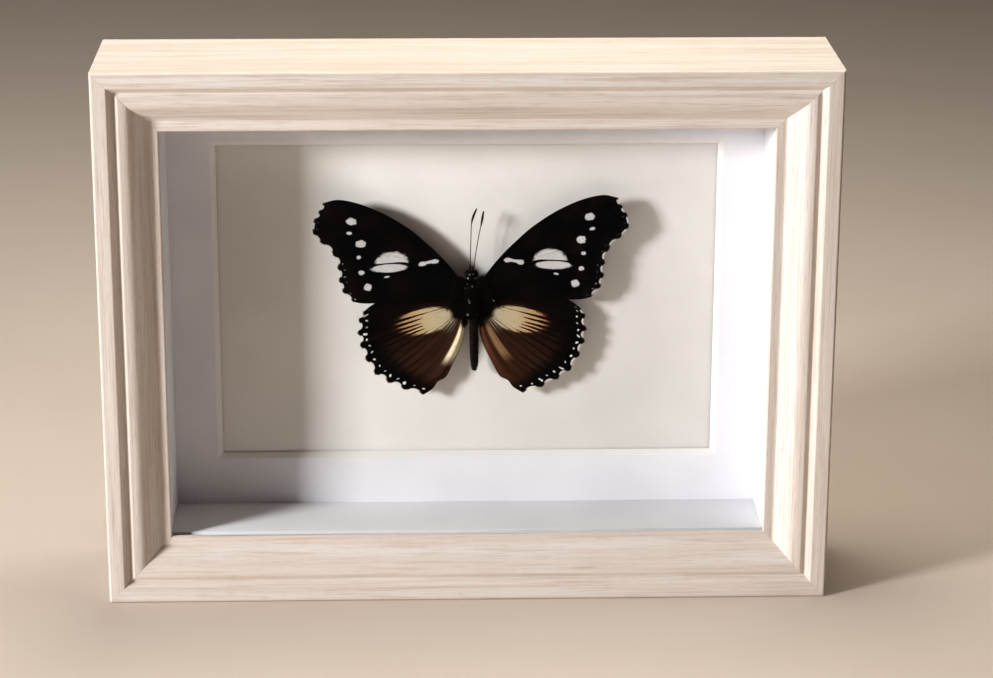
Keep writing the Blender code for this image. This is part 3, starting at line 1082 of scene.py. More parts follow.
@dataclass
class Moulding:
    """Four mitred lengths of the frame's moulding."""

    finish: Material
    low: Vector
    high: Vector
    sight: float = 18.1 * MM
    rabbet: float = 15.2 * MM
    lip_back: float = 7.5 * MM
    joint: float = 0.015 * MM  # each rail's distance from the mitre
    ease: float = 0.05 * MM  # how far the cut ends are eased
    flat_step: float = 1.3 * MM
    arc_step: float = math.radians(7)
    lengthwise: int = 12

    def corners(self) -> tuple[Point3, ...]:
        """Lists the section's corners.

        Returns:
            How far inwards each is, how far behind the front, and its radius.
        """
        depth = self.high.y - self.low.y
        return (
            (0.0, depth, 0.5 * MM),
            (0.0, 0.0, 0.8 * MM),
            (4.5 * MM, 0.0, 0.6 * MM),
            (6.1 * MM, 2.1 * MM, 0.5 * MM),
            (7.4 * MM, 1.2 * MM, 0.9 * MM),
            (10.2 * MM, 1.5 * MM, 4.5 * MM),
            (15.0 * MM, 6.3 * MM, 0.9 * MM),
            (self.sight, 6.0 * MM, 0.5 * MM),
            (self.sight, self.lip_back, 0.1 * MM),
            (self.rabbet, self.lip_back, 0.1 * MM),
            (self.rabbet, depth, 0.4 * MM),
        )

    def section(self) -> list[SectionPoint]:
        """Rounds the corners and divides the flats.

        Returns:
            The section's outline, in order.
        """
        corners = self.corners()
        arcs = []
        for i, (inward, behind, radius) in enumerate(corners):
            corner = Vector((inward, behind))
            back = (Vector(corners[i - 1][:2]) - corner).normalized()
            ahead = (Vector(corners[(i + 1) % len(corners)][:2]) - corner).normalized()
            half = back.angle(ahead) / 2
            reach = radius / math.tan(half)
            centre = corner + (back + ahead).normalized() * radius / math.sin(half)
            start = corner + back * reach - centre
            turn = start.angle_signed(corner + ahead * reach - centre)
            steps = max(2, math.ceil(abs(turn) / self.arc_step))
            proud = 1.0 if turn < 0 and radius < 2 * MM and behind < self.lip_back else 0.0
            arcs.append(
                [
                    (centre + Matrix.Rotation(-turn * step / steps, 2) @ start, proud)
                    for step in range(steps + 1)
                ]
            )
        outline = []
        for arc, following in zip(arcs, arcs[1:] + arcs[:1]):
            outline += arc
            start, end = arc[-1][0], following[0][0]
            count = max(1, math.ceil((end - start).length / self.flat_step))
            near = min(0.12 * MM / (end - start).length, 0.3)
            shares = [near, *(k / count for k in range(1, count)), 1 - near]
            for share in shares:
                beside = arc[-1][1] if share == near else following[0][1] if share == 1 - near else 0.0
                outline.append((start.lerp(end, share), 0.4 * beside))
        points, run = [], 0.0
        before = outline[0][0]
        for point, proud in outline:
            run += (point - before).length
            before = point
            points.append(SectionPoint(point.x, point.y, run, proud))
        return points

    def length(self, side: Side) -> float:
        """The rail's outer length."""
        size = self.high - self.low
        return size.x if side in (Side.BOTTOM, Side.TOP) else size.z

    def laid(self, side: Side, along: np.ndarray, behind: np.ndarray, inward: np.ndarray) -> np.ndarray:
        """Turns a rail's own places into places in the frame.

        Args:
            side: The rail's side.
            along: Distance from the rail's middle.
            behind: Depth behind the front.
            inward: Distance in from the outer edge.

        Returns:
            One row a point.
        """
        low, high = self.low, self.high
        y = low.y + behind
        middle = (low.z + high.z) / 2
        if side is Side.BOTTOM:
            return np.column_stack([along, y, low.z + inward])
        if side is Side.TOP:
            return np.column_stack([-along, y, high.z - inward])
        if side is Side.LEFT:
            return np.column_stack([low.x + inward, y, middle - along])
        return np.column_stack([high.x - inward, y, middle + along])

    def rail(self, side: Side, number: int) -> None:
        """Builds and dresses one rail.

        Args:
            side: Its side.
            number: Its place in the order, which shifts the grain.
        """
        section = self.section()
        inward = np.array([p.inward for p in section])
        behind = np.array([p.behind for p in section])
        run = np.array([p.run for p in section])
        arris = np.array([p.arris for p in section])
        line = np.column_stack([inward, behind])
        tangent = unit(np.roll(line, -1, axis=0) - np.roll(line, 1, axis=0))
        half = self.length(side) / 2
        shares = np.linspace(-1, 1, self.lengthwise + 1)
        rows = [(-1.0, self.joint, self.ease)]
        rows += [(share, self.joint + (self.ease if abs(share) == 1 else 0.0), 0.0) for share in shares]
        rows.append((1.0, self.joint, self.ease))
        points, grain, edges = [], [], []
        for share, gap, shrink in rows:
            u = inward - shrink * tangent[:, 1]
            v = behind + shrink * tangent[:, 0]
            reach = half - u - gap
            points.append(self.laid(side, share * reach, v, u))
            deep = np.full(len(run), 0.3 * number)
            grain.append(np.column_stack([share * reach + 0.7 * number, run, deep]))
            edges.append(np.maximum(arris, 1.0 if shrink else 0.0))
        count = len(section)
        faces = grid_faces(len(rows), count, closed=True)
        mesh = solid_mesh("rail", np.vstack(points), faces)
        bm = bmesh.new()
        bm.from_mesh(mesh)
        bm.verts.ensure_lookup_table()
        bm.faces.new([bm.verts[k] for k in range(count)])
        bm.faces.new([bm.verts[len(rows) * count - 1 - k] for k in range(count)])
        bmesh.ops.recalc_face_normals(bm, faces=bm.faces)
        bm.to_mesh(mesh)
        bm.free()
        note(mesh, "grain", np.vstack(grain))
        note(mesh, "arris", np.concatenate(edges))
        sharpen(mesh, 28)
        show(f"moulding_{side.value}", mesh, self.finish, [f"rail_{side.value}"])

    def build(self) -> None:
        """Builds all four rails."""
        for number, side in enumerate(Side):
            self.rail(side, number)


@dataclass
class Glazing:
    """The pane behind the lip."""

    finish: Material
    arris: float = 0.25 * MM

    def build(self) -> None:
        """Builds the pane where the CAD has it."""
        low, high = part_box("glass_pane")
        mesh = block_mesh("pane", low, high, self.arris, 3)
        show("picture_glass", mesh, self.finish, ["glass_pane"])


@dataclass
class Stack:
    """Liners, mat and backing card behind the glass."""

    liner_finish: Material
    mat_finish: Material
    card_finish: Material
    closing: float = 0.28 * MM  # how far the side liners reach into the gaps beside them
    window_width: float = 145.0 * MM
    window_height: float = 94.0 * MM
    window_middle: tuple[float, float] = (0.3 * MM, 80.6 * MM)
    cut_edge: float = 0.07 * MM

    def liners(self) -> None:
        """Four strips that stand between the glass and the mat."""
        for side in Side:
            node = f"liner_{side.value}"
            low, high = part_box(node)
            high.y += self.closing
            if side in (Side.LEFT, Side.RIGHT):
                low.z -= self.closing
                high.z += self.closing
            mesh = block_mesh(node, low, high, 0.16 * MM)
            note(mesh, "core", np.zeros(len(mesh.vertices)))
            show(f"board_{node}", mesh, self.liner_finish, [node])

    def mat(self) -> None:
        """The mat, its window cut on a bevel that shows the white core."""
        low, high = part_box("mat_board")
        thick = high.y - low.y
        x, z = self.window_middle
        half = Vector((self.window_width / 2, self.window_height / 2))
        edge = self.cut_edge
        outer = (low.x, high.x, low.z, high.z)

        def window(grow: float) -> tuple[float, float, float, float]:
            """The window's sides, grown by this much all round."""
            return (x - half.x - grow, x + half.x + grow, z - half.y - grow, z + half.y + grow)

        loops = [
            (outer, high.y, 0.0),
            (outer, low.y, 0.0),
            (window(thick + 6 * MM), low.y, 0.0),
            (window(thick + 1.2 * edge), low.y, 0.0),
            (window(thick + 0.4 * edge), low.y + 0.25 * edge, 0.0),
            (window(thick - 0.2 * edge), low.y + edge, 1.0),
            (window(thick - 0.6 * edge), low.y + 1.2 * edge, 1.0),
            (window(0.3 * edge), high.y - 0.3 * edge, 1.0),
            (window(0.0), high.y, 1.0),
        ]
        points, core = [], []
        for (left, right, bottom, top), y, cut in loops:
            points += [(left, y, bottom), (right, y, bottom), (right, y, top), (left, y, top)]
            core += [cut] * 4
        count = len(loops)
        faces = [grid_faces(count, 4, closed=True)]
        last = 4 * (count - 1) + np.arange(5) % 4
        faces.append(strip_faces(last, np.arange(5) % 4))
        mesh = solid_mesh("mat", np.array(points), *faces)
        note(mesh, "core", np.array(core))
        sharpen(mesh, 20)
        show("window_mat", mesh, self.mat_finish, ["mat_board"])

    def card(self) -> None:
        """The card that the specimen is fixed to."""
        low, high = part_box("backing_card")
        mesh = block_mesh("card", low, high, 0.12 * MM)
        note(mesh, "core", np.zeros(len(mesh.vertices)))
        show("specimen_card", mesh, self.card_finish, ["backing_card"])

    def build(self) -> None:
        """Builds every layer."""
        self.liners()
        self.mat()
        self.card()


@dataclass
class BackFittings:
    """Panel, points and hanger on the back."""

    panel_finish: Material
    steel: Material
    cork: Material

    def build(self) -> None:
        """Dresses the nodes that keep their CAD shape."""
        dress_node("back_panel", self.panel_finish, 0.25 * MM)
        for node in frame["nodes"]:
            if node.startswith(("tab_", "hanger")):
                dress_node(node, self.steel, 0.08 * MM)
        dress_node("mount_block", self.cork, 0.1 * MM)


# ---------------------------------------------------------------- the butterfly


HEAD_TOP = 9.0  # above the thorax's middle, in millimetres
TAIL_TIP = -22.1
FEELER_ROUTES = {
    Hand.LEFT: (
        (-0.4, 8.7),
        (-0.3, 11.5),
        (-0.2, 14.5),
        (0.0, 19.0),
        (0.2, 23.0),
        (0.8, 25.6),
        (1.8, 27.9),
    ),
    Hand.RIGHT: (
        (0.5, 8.7),
        (0.9, 11.0),
        (1.2, 13.5),
        (1.9, 17.5),
        (2.5, 20.6),
        (3.1, 23.4),
        (3.75, 27.1),
    ),
}
PALP_ROUTE = ((0.3, 0.9, 8.2), (0.42, 0.55, 8.9), (0.4, 0.35, 9.5), (0.32, 0.3, 10.0))
LEG_FOLDS = (
    ((1.0, 3.0, 3.4), (3.4, 3.2, 4.6), (6.4, 3.3, 3.2), (4.2, 3.6, 0.6), (2.9, 3.8, -2.0)),
    ((1.2, 3.0, 0.0), (3.8, 3.3, -0.8), (6.8, 3.4, -2.4), (4.8, 3.7, -5.0), (3.2, 3.9, -8.0)),
)
LEG_RADII = (0.24, 0.2, 0.15, 0.1)


@dataclass(frozen=True)
class Perch:
    """Where the butterfly's own millimetres lie in the frame."""

    matrix: Matrix

    @classmethod
    def from_frame(cls, lean: float = math.radians(-0.8)) -> "Perch":
        """Finds the middle of the thorax from the CAD body.

        Args:
            lean: Turn about Y.

        Returns:
            The perch.
        """
        low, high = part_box("butterfly_body")
        body_middle_depth = (low.y + high.y) / 2
        wing_plane = body_middle_depth - 1.2 * MM
        middle = (HEAD_TOP + TAIL_TIP) / 2 * MM
        x = (low.x + high.x) / 2 - middle * math.sin(lean)
        z = (low.z + high.z) / 2 - middle * math.cos(lean)
        return cls(Matrix.Translation((x, wing_plane, z)) @ Matrix.Rotation(lean, 4, "Y"))

    def put(self, points: np.ndarray) -> np.ndarray:
        """Moves points (across, back, up) in millimetres to their places in metres."""
        matrix = np.array(self.matrix)
        return points * MM @ matrix[:3, :3].T + matrix[:3, 3]


@dataclass(frozen=True)
class WingPlan:
    """A wing's venation and margin, in the wing's millimetres.

    Each vein runs from the root through its inner points to its end on the outer margin; the
    first is the leading edge and the last the trailing edge. Notches lie between the vein ends.
    """

    kind: str
    lift: float
    root: Point
    veins: tuple[tuple[Point, ...], ...]
    ends: tuple[Point, ...]
    notches: tuple[float, ...]
    ribs_from: tuple[float, ...]  # share of each vein's length before it shows
    crest: float = 0.0  # height of the inner fold


FOREWING = WingPlan(
    kind="forewing",
    lift=0.0,
    root=(2.6, 3.0),
    veins=(
        (
            (2.6, 4.6),
            (4.6, 8.4),
            (8.5, 13.2),
            (12.6, 17.4),
            (18.0, 22.2),
            (25.0, 26.8),
            (32.0, 30.0),
            (38.0, 31.4),
        ),
        ((2.6, 4.35), (9.0, 11.4), (18.0, 19.4), (27.0, 24.9), (36.0, 28.2)),
        ((2.6, 4.1), (9.0, 10.1), (18.0, 17.0), (27.0, 22.2), (36.0, 25.4)),
        ((2.6, 3.9), (9.0, 9.2), (18.0, 15.2), (27.0, 19.6), (36.0, 22.0)),
        ((2.6, 3.7), (9.0, 8.4), (18.0, 13.9), (27.0, 17.3), (36.0, 18.9)),
        ((2.6, 3.4), (9.0, 7.5), (15.0, 11.2), (20.0, 13.3), (27.0, 14.8), (34.0, 15.2)),
        (
            (2.6, 3.1),
            (8.0, 6.2),
            (13.0, 9.4),
            (18.6, 11.75),
            (24.0, 11.75),
            (29.0, 11.45),
            (34.0, 11.2),
        ),
        ((2.6, 2.7), (9.0, 5.2), (15.0, 7.5), (22.0, 8.3), (30.0, 7.8)),
        ((2.6, 2.2), (9.0, 3.4), (15.0, 4.4), (22.0, 4.8), (30.0, 4.4)),
        ((2.6, 1.4), (9.0, 0.6), (20.0, 0.0), (31.0, -0.2)),
    ),
    ends=(
        (42.3, 30.6),
        (43.6, 28.0),
        (45.0, 25.6),
        (45.5, 21.9),
        (43.2, 18.6),
        (39.9, 14.9),
        (38.7, 10.9),
        (38.4, 7.0),
        (37.4, 3.6),
        (34.6, 0.4),
    ),
    notches=(0.4, 0.45, 0.1, 0.25, 0.75, 0.75, 0.7, 0.6, 0.5),
    ribs_from=(0.0, 0.0, 0.3, 0.42, 0.5, 0.46, 0.4, 0.0, 0.28, 0.0),
)

HINDWING = WingPlan(
    kind="hindwing",
    lift=1.0,
    root=(2.7, -1.0),
    veins=(
        ((2.6, 0.6), (8.0, 1.6), (14.0, 2.2), (22.0, 2.0), (28.4, -0.6)),
        ((2.6, 0.3), (9.0, -0.4), (16.0, -0.9), (24.0, -2.4)),
        ((2.6, 0.0), (8.0, -2.2), (13.0, -3.7), (18.0, -5.2), (24.0, -6.9)),
        ((2.6, -0.4), (8.0, -3.9), (12.5, -6.1), (17.0, -7.7), (23.7, -9.8)),
        ((2.6, -0.8), (8.0, -5.2), (13.0, -8.2), (17.4, -10.0), (23.0, -12.8)),
        ((2.6, -1.2), (5.8, -5.2), (9.6, -8.3), (13.0, -10.9), (17.6, -14.6), (23.0, -18.6)),
        ((2.6, -1.6), (5.0, -6.0), (7.7, -9.6), (10.9, -13.4), (15.6, -18.0)),
        ((2.6, -2.0), (4.2, -6.8), (6.2, -11.0), (9.0, -16.0), (13.0, -21.0)),
        (
            (2.6, -2.4),
            (2.1, -8.0),
            (2.4, -11.4),
            (3.8, -15.6),
            (6.0, -20.2),
            (7.9, -23.8),
            (10.3, -25.2),
            (11.8, -27.2),
        ),
    ),
    ends=(
        (31.5, -2.9),
        (33.0, -5.4),
        (33.4, -9.5),
        (32.8, -13.4),
        (31.3, -17.7),
        (28.7, -22.2),
        (24.9, -24.9),
        (20.3, -27.2),
        (14.6, -29.0),
    ),
    notches=(0.5, 1.0, 1.05, 1.0, 1.0, 1.1, 1.0, 0.9),
    ribs_from=(0.0, 0.0, 0.16, 0.42, 0.42, 0.0, 0.05, 0.0, 0.0),
    crest=0.55,
)


@dataclass
class Wing:
    """One wing: two thin scaled skins with raised veins and a scalloped, fringed margin."""

    plan: WingPlan
    hand: Hand
    perch: Perch
    finish: Material
    rows: int = 60
    columns: int = 44  # in each cell between two veins
    thickness: float = 0.15
    rib: float = 0.09
    pleat: float = 0.1
    span: float = 45.0
    sag: float = 1.6
    tip_lift: float = 0.9
    fringe_step: float = 0.085
    fringe_length: float = 0.42

    def margin(self, strand: np.ndarray) -> tuple[np.ndarray, np.ndarray]:
        """Finds the outer margin at each strand.

        Args:
            strand: Place along the margin: whole numbers are vein ends.

        Returns:
            The margin's points and the outward direction at each.
        """
        ends = np.array(self.plan.ends)
        line = smooth_route(ends, 1200)
        nearest = [int(np.argmin(np.linalg.norm(line - end, axis=1))) for end in ends]
        index = np.interp(strand, np.arange(len(ends)), nearest)
        steps = np.arange(len(line))
        points = np.column_stack([np.interp(index, steps, line[:, k]) for k in range(2)])
        slope = np.gradient(line, axis=0)
        along = unit(np.column_stack([np.interp(index, steps, slope[:, k]) for k in range(2)]))
        outward = np.column_stack([-along[:, 1], along[:, 0]])
        from_root = points - np.array(self.plan.root)
        outward *= np.sign(np.einsum("ij,ij->i", outward, from_root))[:, None]
        cell = np.clip(np.floor(strand).astype(int), 0, len(self.plan.notches) - 1)
        part = strand - cell
        depth = np.array(self.plan.notches)[cell]
        scallop = 0.45 * np.sin(np.pi * part) + 0.55 * np.sin(np.pi * part) ** 2
        return points - outward * (depth * scallop)[:, None], outward

    def strands(self) -> np.ndarray:
        """The strands that the grid's columns follow."""
        cells = len(self.plan.veins) - 1
        return np.linspace(0, cells, cells * self.columns + 1)

    def reach(self) -> np.ndarray:
        """Shares of the way out, closer together near the margin."""
        return 1 - (1 - np.linspace(0, 1, self.rows)) ** 1.25

    def lattice(self) -> np.ndarray:
        """Lays the grid out flat.

        Returns:
            An array of rows by columns by two.
        """
        strand, share = self.strands(), self.reach()
        routes = []
        for inner, end in zip(self.plan.veins, self.plan.ends):
            route = smooth_route((*inner, end), 400)
            at = np.linspace(0, 1, 400)
            routes.append(np.column_stack([np.interp(share, at, route[:, k]) for k in range(2)]))
        routes = np.array(routes)
        cell = np.clip(np.floor(strand).astype(int), 0, len(routes) - 2)
        part = (strand - cell)[:, None, None]
        flat = routes[cell] * (1 - part) + routes[cell + 1] * part
        rim, _ = self.margin(strand)
        flat += (rim - flat[:, -1])[:, None, :] * (share**3)[None, :, None]
        return flat.transpose(1, 0, 2)

    def backward(
        self, flat: np.ndarray, strand: np.ndarray, share: np.ndarray, pitch: np.ndarray
    ) -> np.ndarray:
        """Works out how far back each point of the wing lies.

        Args:
            flat: The grid laid out flat.
            strand: Strand of each point.
            share: Share of the way out of each point.
            pitch: Millimetres between veins at each point.

        Returns:
            Millimetres back from the wing plane.
        """
        out = np.linalg.norm(flat - np.array(self.plan.root), axis=-1) / self.span
        level = self.plan.lift + self.sag * out * (1 - out) - self.tip_lift * out
        nearest = np.round(strand).astype(int)
        gap = np.abs(strand - nearest) * pitch
        shown = np.array(self.plan.ribs_from)[nearest]
        rib = np.clip((share - shown + 0.03) / 0.06, 0, 1) * (1 - 0.5 * share)
        level = level - self.rib * rib * np.exp(-((gap / 0.17) ** 2))
        part = strand - np.floor(strand)
        fold = self.pleat * np.sin(np.pi * part) ** 2
        level = level + fold * np.clip(pitch / 3, 0.2, 1.2) * (0.3 + 0.7 * share)
        hand = self.hand.value
        wave = np.sin(flat[..., 0] * 0.55 + hand) * np.sin(flat[..., 1] * 0.48 + 2.0 * hand)
        level = level + 0.12 * wave * share
        if self.plan.crest:
            last = len(self.plan.veins) - 1
            over = np.clip(strand - (last - 1), 0, 1)
            hump = np.exp(-(((over - 0.62) / 0.2) ** 2)) - 1.1 * np.clip(over - 0.7, 0, 1) / 0.3
            level = level - self.plan.crest * hump * np.sin(np.pi * np.clip(share * 1.05, 0, 1)) ** 0.7
        return level

    def fringe(self, rng: np.random.Generator) -> tuple[np.ndarray, np.ndarray, np.ndarray, np.ndarray]:
        """Builds the fringe scales, four vertices each.

        Args:
            rng: Random numbers.

        Returns:
            Flat places, strands, distances inside the margin, and half-thickness signs.
        """
        cells = len(self.plan.veins) - 1
        length = np.linalg.norm(np.diff(np.array(self.plan.ends), axis=0), axis=1).sum()
        count = int(length / self.fringe_step)
        strand = np.linspace(0.02, cells - 0.02, count) + rng.normal(0, 0.006, count)
        rim, outward = self.margin(np.clip(strand, 0, cells))
        along = np.column_stack([-outward[:, 1], outward[:, 0]])
        lean = rng.normal(0, 0.25, count)[:, None]
        size = (self.fringe_length * rng.uniform(0.55, 1.1, count))[:, None]
        start = rim - outward * 0.1
        tip = rim + (outward + along * lean) * size
        half = along * 0.07
        flat = np.stack([start - half, start + half, start, tip], 1)
        edges = np.stack([np.zeros(count), np.zeros(count), np.zeros(count), np.full(count, -0.3)], 1)
        lift = np.tile([-1.0, -1.0, 1.0, 0.0], (count, 1))
        return flat.reshape(-1, 2), np.repeat(strand, 4), edges.ravel(), lift.ravel()

    def build(self) -> None:
        """Builds and dresses the wing."""
        flat = self.lattice()
        rows, columns = flat.shape[:2]
        strand = np.broadcast_to(self.strands(), (rows, columns))
        share = np.broadcast_to(self.reach()[:, None], (rows, columns))
        pitch = np.linalg.norm(np.gradient(flat, axis=1), axis=-1) * self.columns
        steps = np.linalg.norm(np.diff(flat, axis=0), axis=-1)
        edge = np.vstack([np.cumsum(steps[::-1], axis=0)[::-1], np.zeros(columns)])
        level = self.backward(flat, strand, share, pitch)
        nearest = np.round(strand).astype(int)
        shown = np.array(self.plan.ribs_from)[nearest]
        rib = np.clip((share - shown + 0.05) / 0.1, 0, 1)
        half = self.thickness / 2 * (1 - 0.45 * share)
        rng = np.random.default_rng(11 + self.hand.value + len(self.plan.kind))
        tuft, tuft_strand, tuft_edge, tuft_lift = self.fringe(rng)
        rim_level = np.interp(tuft_strand, self.strands(), level[-1])
        skins = []
        for sign in (-1, 1):
            skins.append(np.column_stack([flat.reshape(-1, 2), (level + sign * half).ravel()]))
        skins.append(np.column_stack([tuft, rim_level + tuft_lift * 0.03]))
        plane = np.vstack(skins)
        places = np.column_stack([self.hand.value * plane[:, 0], plane[:, 2], plane[:, 1]])
        size = rows * columns
        index = np.arange(size).reshape(rows, columns)
        front = grid_faces(rows, columns)
        back = grid_faces(rows, columns, size)[:, ::-1]
        sides = [
            strip_faces(index[-1], index[-1] + size),
            strip_faces(index[0][::-1], index[0][::-1] + size),
            strip_faces(index[:, 0], index[:, 0] + size),
            strip_faces(index[::-1, -1], index[::-1, -1] + size),
        ]
        scale = 2 * size + 4 * np.arange(len(tuft) // 4)[:, None]
        corners = np.array([(0, 1, 2), (1, 0, 3), (2, 1, 3), (0, 2, 3)])
        scales = (scale[:, :, None] + corners[None]).reshape(-1, 3)
        mesh = solid_mesh(self.plan.kind, self.perch.put(places), front, back, *sides, scales)
        zero = np.zeros(len(tuft))
        for name, values, extra in (
            ("strand", strand, tuft_strand),
            ("pitch", pitch, np.interp(tuft_strand, self.strands(), pitch[-1])),
            ("edge", edge, tuft_edge),
            ("rib", rib, zero),
        ):
            note(mesh, name, np.concatenate([values.ravel(), values.ravel(), extra]))
        note(mesh, "under", np.concatenate([np.zeros(size), np.ones(size), zero]))
        note(mesh, "plane", np.column_stack([plane[:, :2], np.zeros(len(plane))]))
        sharpen(mesh, 55)
        name = f"{self.plan.kind}_{self.hand.name.lower()}"
        show(f"scaled_{name}", mesh, self.finish, [name])


@dataclass(frozen=True)
class Hairs:
    """Hairs as fine curved cones, in the butterfly's millimetres; each array has a row a hair."""

    starts: np.ndarray
    tips: np.ndarray
    bend: np.ndarray  # how far each one's middle is pushed aside
    radius: float
    tints: np.ndarray  # a shade from 0 to 1

    def mesh(self, name: str, perch: Perch) -> bpy.types.Mesh:
        """Makes one closed cone for each hair.

        Args:
            name: The mesh's name.
            perch: Where the butterfly is.

        Returns:
            The mesh.
        """
        ring = rings_about(unit(self.tips - self.starts), (0.31, 0.87, 0.38), 3) * self.radius
        middle = (self.starts + self.tips) / 2 + self.bend
        points = np.concatenate(
            [self.starts[:, None] + ring, middle[:, None] + ring * 0.75, self.tips[:, None]], 1
        )
        first = 7 * np.arange(len(self.starts))[:, None, None]
        quads = np.array([(0, 1, 4, 3), (1, 2, 5, 4), (2, 0, 3, 5)])
        triangles = np.array([(0, 2, 1), (3, 4, 6), (4, 5, 6), (5, 3, 6)])
        mesh = solid_mesh(
            name,
            perch.put(points.reshape(-1, 3)),
            (first + quads[None]).reshape(-1, 4),
            (first + triangles[None]).reshape(-1, 3),
        )
        note(mesh, "tint", np.repeat(self.tints, 7))
        return mesh


@dataclass(frozen=True)
class Fan:
    """A fan of hair at a wing's base: where its hairs start, and how they spread."""

    count: int
    across: Point
    up: Point
    turn: Point  # degrees up from straight out
    length: Point
    back: float


@dataclass
class Body:
    """Head, thorax and abdomen with their hair, eyes, feelers and folded legs."""

    perch: Perch
    skin: Material
    hair: Material
    brown_hair: Material
    white_hair: Material
    eye: Material
    behind: float = 1.2  # the body's axis behind the wing plane
    lean: float = 0.5  # how far right the abdomen hangs
    sides: int = 40
    stations: tuple[Point3, ...] = (
        (-22.0, 0.14, 0.14),
        (-21.3, 0.6, 0.6),
        (-19.6, 1.02, 1.0),
        (-14.0, 1.24, 1.25),
        (-9.0, 1.2, 1.25),
        (-6.5, 1.3, 1.4),
        (-4.0, 1.9, 2.0),
        (-1.0, 2.2, 2.3),
        (2.0, 2.2, 2.3),
        (4.4, 1.8, 1.9),
        (5.6, 1.2, 1.3),
        (6.4, 1.4, 1.4),
        (7.4, 1.5, 1.5),
        (8.4, 1.1, 1.1),
        (8.9, 0.5, 0.5),
    )
    thorax_hairs: int = 5200
    abdomen_hairs: int = 3000
    palp_hairs: int = 260
    tongue_turns: float = 2.4
    fans: tuple[Fan, ...] = (
        Fan(1500, (1.2, 4.2), (1.6, 6.6), (8, 52), (1.4, 2.8), 0.12),
        Fan(1300, (1.4, 5.0), (-0.6, 3.6), (-18, 25), (1.6, 3.2), 0.16),
        Fan(1500, (1.4, 4.4), (-4.4, 0.4), (-75, -20), (1.4, 3.0), 0.7),
        Fan(700, (1.2, 2.6), (-6.5, -3.0), (-88, -62), (1.6, 3.2), 0.8),
    )
    # The dots on the right side are drawn smaller than their left pairs, as painted shade on the side
    # away from the key light.
    dots: tuple[Point3, ...] = (
        (-0.42, 8.05, 0.2),
        (0.5, 8.1, 0.1),
        (-0.95, 6.95, 0.24),
        (1.0, 6.9, 0.1),
        (-1.3, 5.1, 0.16),
        (0.1, 4.6, 0.1),
        (-1.7, 3.9, 0.18),
        (1.5, 4.4, 0.1),
        (-0.85, 0.5, 0.22),
        (-0.7, -0.2, 0.2),
        (-1.2, -4.0, 0.26),
        (1.5, -4.2, 0.12),
        (6.1, 0.0, 0.07),
    )

    def place(self, name: str, solid: Solid, finish: Material, stands_for: Iterable[str] = ()) -> None:
        """Puts one closed piece of the body into the frame.

        Args:
            name: The piece's name.
            solid: Its points in millimetres, its quads and its triangles.
            finish: Its material.
            stands_for: CAD nodes that it is shown instead of.
        """
        points, quads, triangles = solid
        mesh = solid_mesh(name, self.perch.put(points), quads, triangles)
        show(name, mesh, finish, stands_for)

    def fur(self, name: str, hairs: Hairs, finish: Material) -> None:
        """Puts one growth of hair on the body.

        Args:
            name: The piece's name.
            hairs: The hairs.
            finish: Their material.
        """
        show(name, hairs.mesh(name, self.perch), finish)

    def radii(self, up: np.ndarray) -> tuple[np.ndarray, np.ndarray]:
        """Half width and half depth of the body at these heights."""
        table = smooth_route(self.stations, 240)
        return np.interp(up, table[:, 0], table[:, 1]), np.interp(up, table[:, 0], table[:, 2])

    def axis(self, up: np.ndarray) -> np.ndarray:
        """How far the body's axis lies to the right at these heights."""
        share = np.clip((-1.0 - up) / 7.0, 0, 1)
        return self.lean * share * share * (3 - 2 * share)

    def core(self) -> None:
        """The body's skin, its abdomen ringed by segments."""
        up = np.linspace(-21.95, 8.85, 190)
        wide, deep = self.radii(up)
        ringed = np.clip((-6.0 - up) / 2, 0, 1)
        groove = 1 - 0.09 * ringed * np.abs(np.cos(np.pi * up / 1.9)) ** 14
        neck = 1 - 0.1 * np.exp(-(((up - 5.6) / 0.35) ** 2))
        wide, deep = wide * groove * neck, deep * groove * neck
        angle = np.linspace(0, 2 * math.pi, self.sides, endpoint=False)
        keel = 1 - 0.06 * np.cos(4 * angle)
        across = wide[:, None] * np.cos(angle) * keel + self.axis(up)[:, None]
        back = deep[:, None] * np.sin(angle) * keel + self.behind
        height = np.broadcast_to(up[:, None], across.shape)
        points = np.stack([across, back, height], -1).reshape(-1, 3)
        ends = np.array([(self.lean, self.behind, TAIL_TIP), (0, self.behind, HEAD_TOP)])
        solid = (np.vstack([points, ends]), *capped_faces(len(up), self.sides))
        self.place("body_skin", solid, self.skin, ["butterfly_body"])

    def on_skin(
        self, up: np.ndarray, angle: np.ndarray, sink: float = 0.08
    ) -> tuple[np.ndarray, np.ndarray]:
        """Places on the skin and the outward directions there.

        Args:
            up: Heights.
            angle: Angles about the axis, with the front at -90 degrees.
            sink: How far under the skin the places are.

        Returns:
            The places and the directions.
        """
        wide, deep = self.radii(up)
        across = (wide - sink) * np.cos(angle) + self.axis(up)
        back = (deep - sink) * np.sin(angle) + self.behind
        places = np.column_stack([across, back, up])
        outward = np.column_stack([np.cos(angle), np.sin(angle), np.zeros(len(up))])
        return places, outward

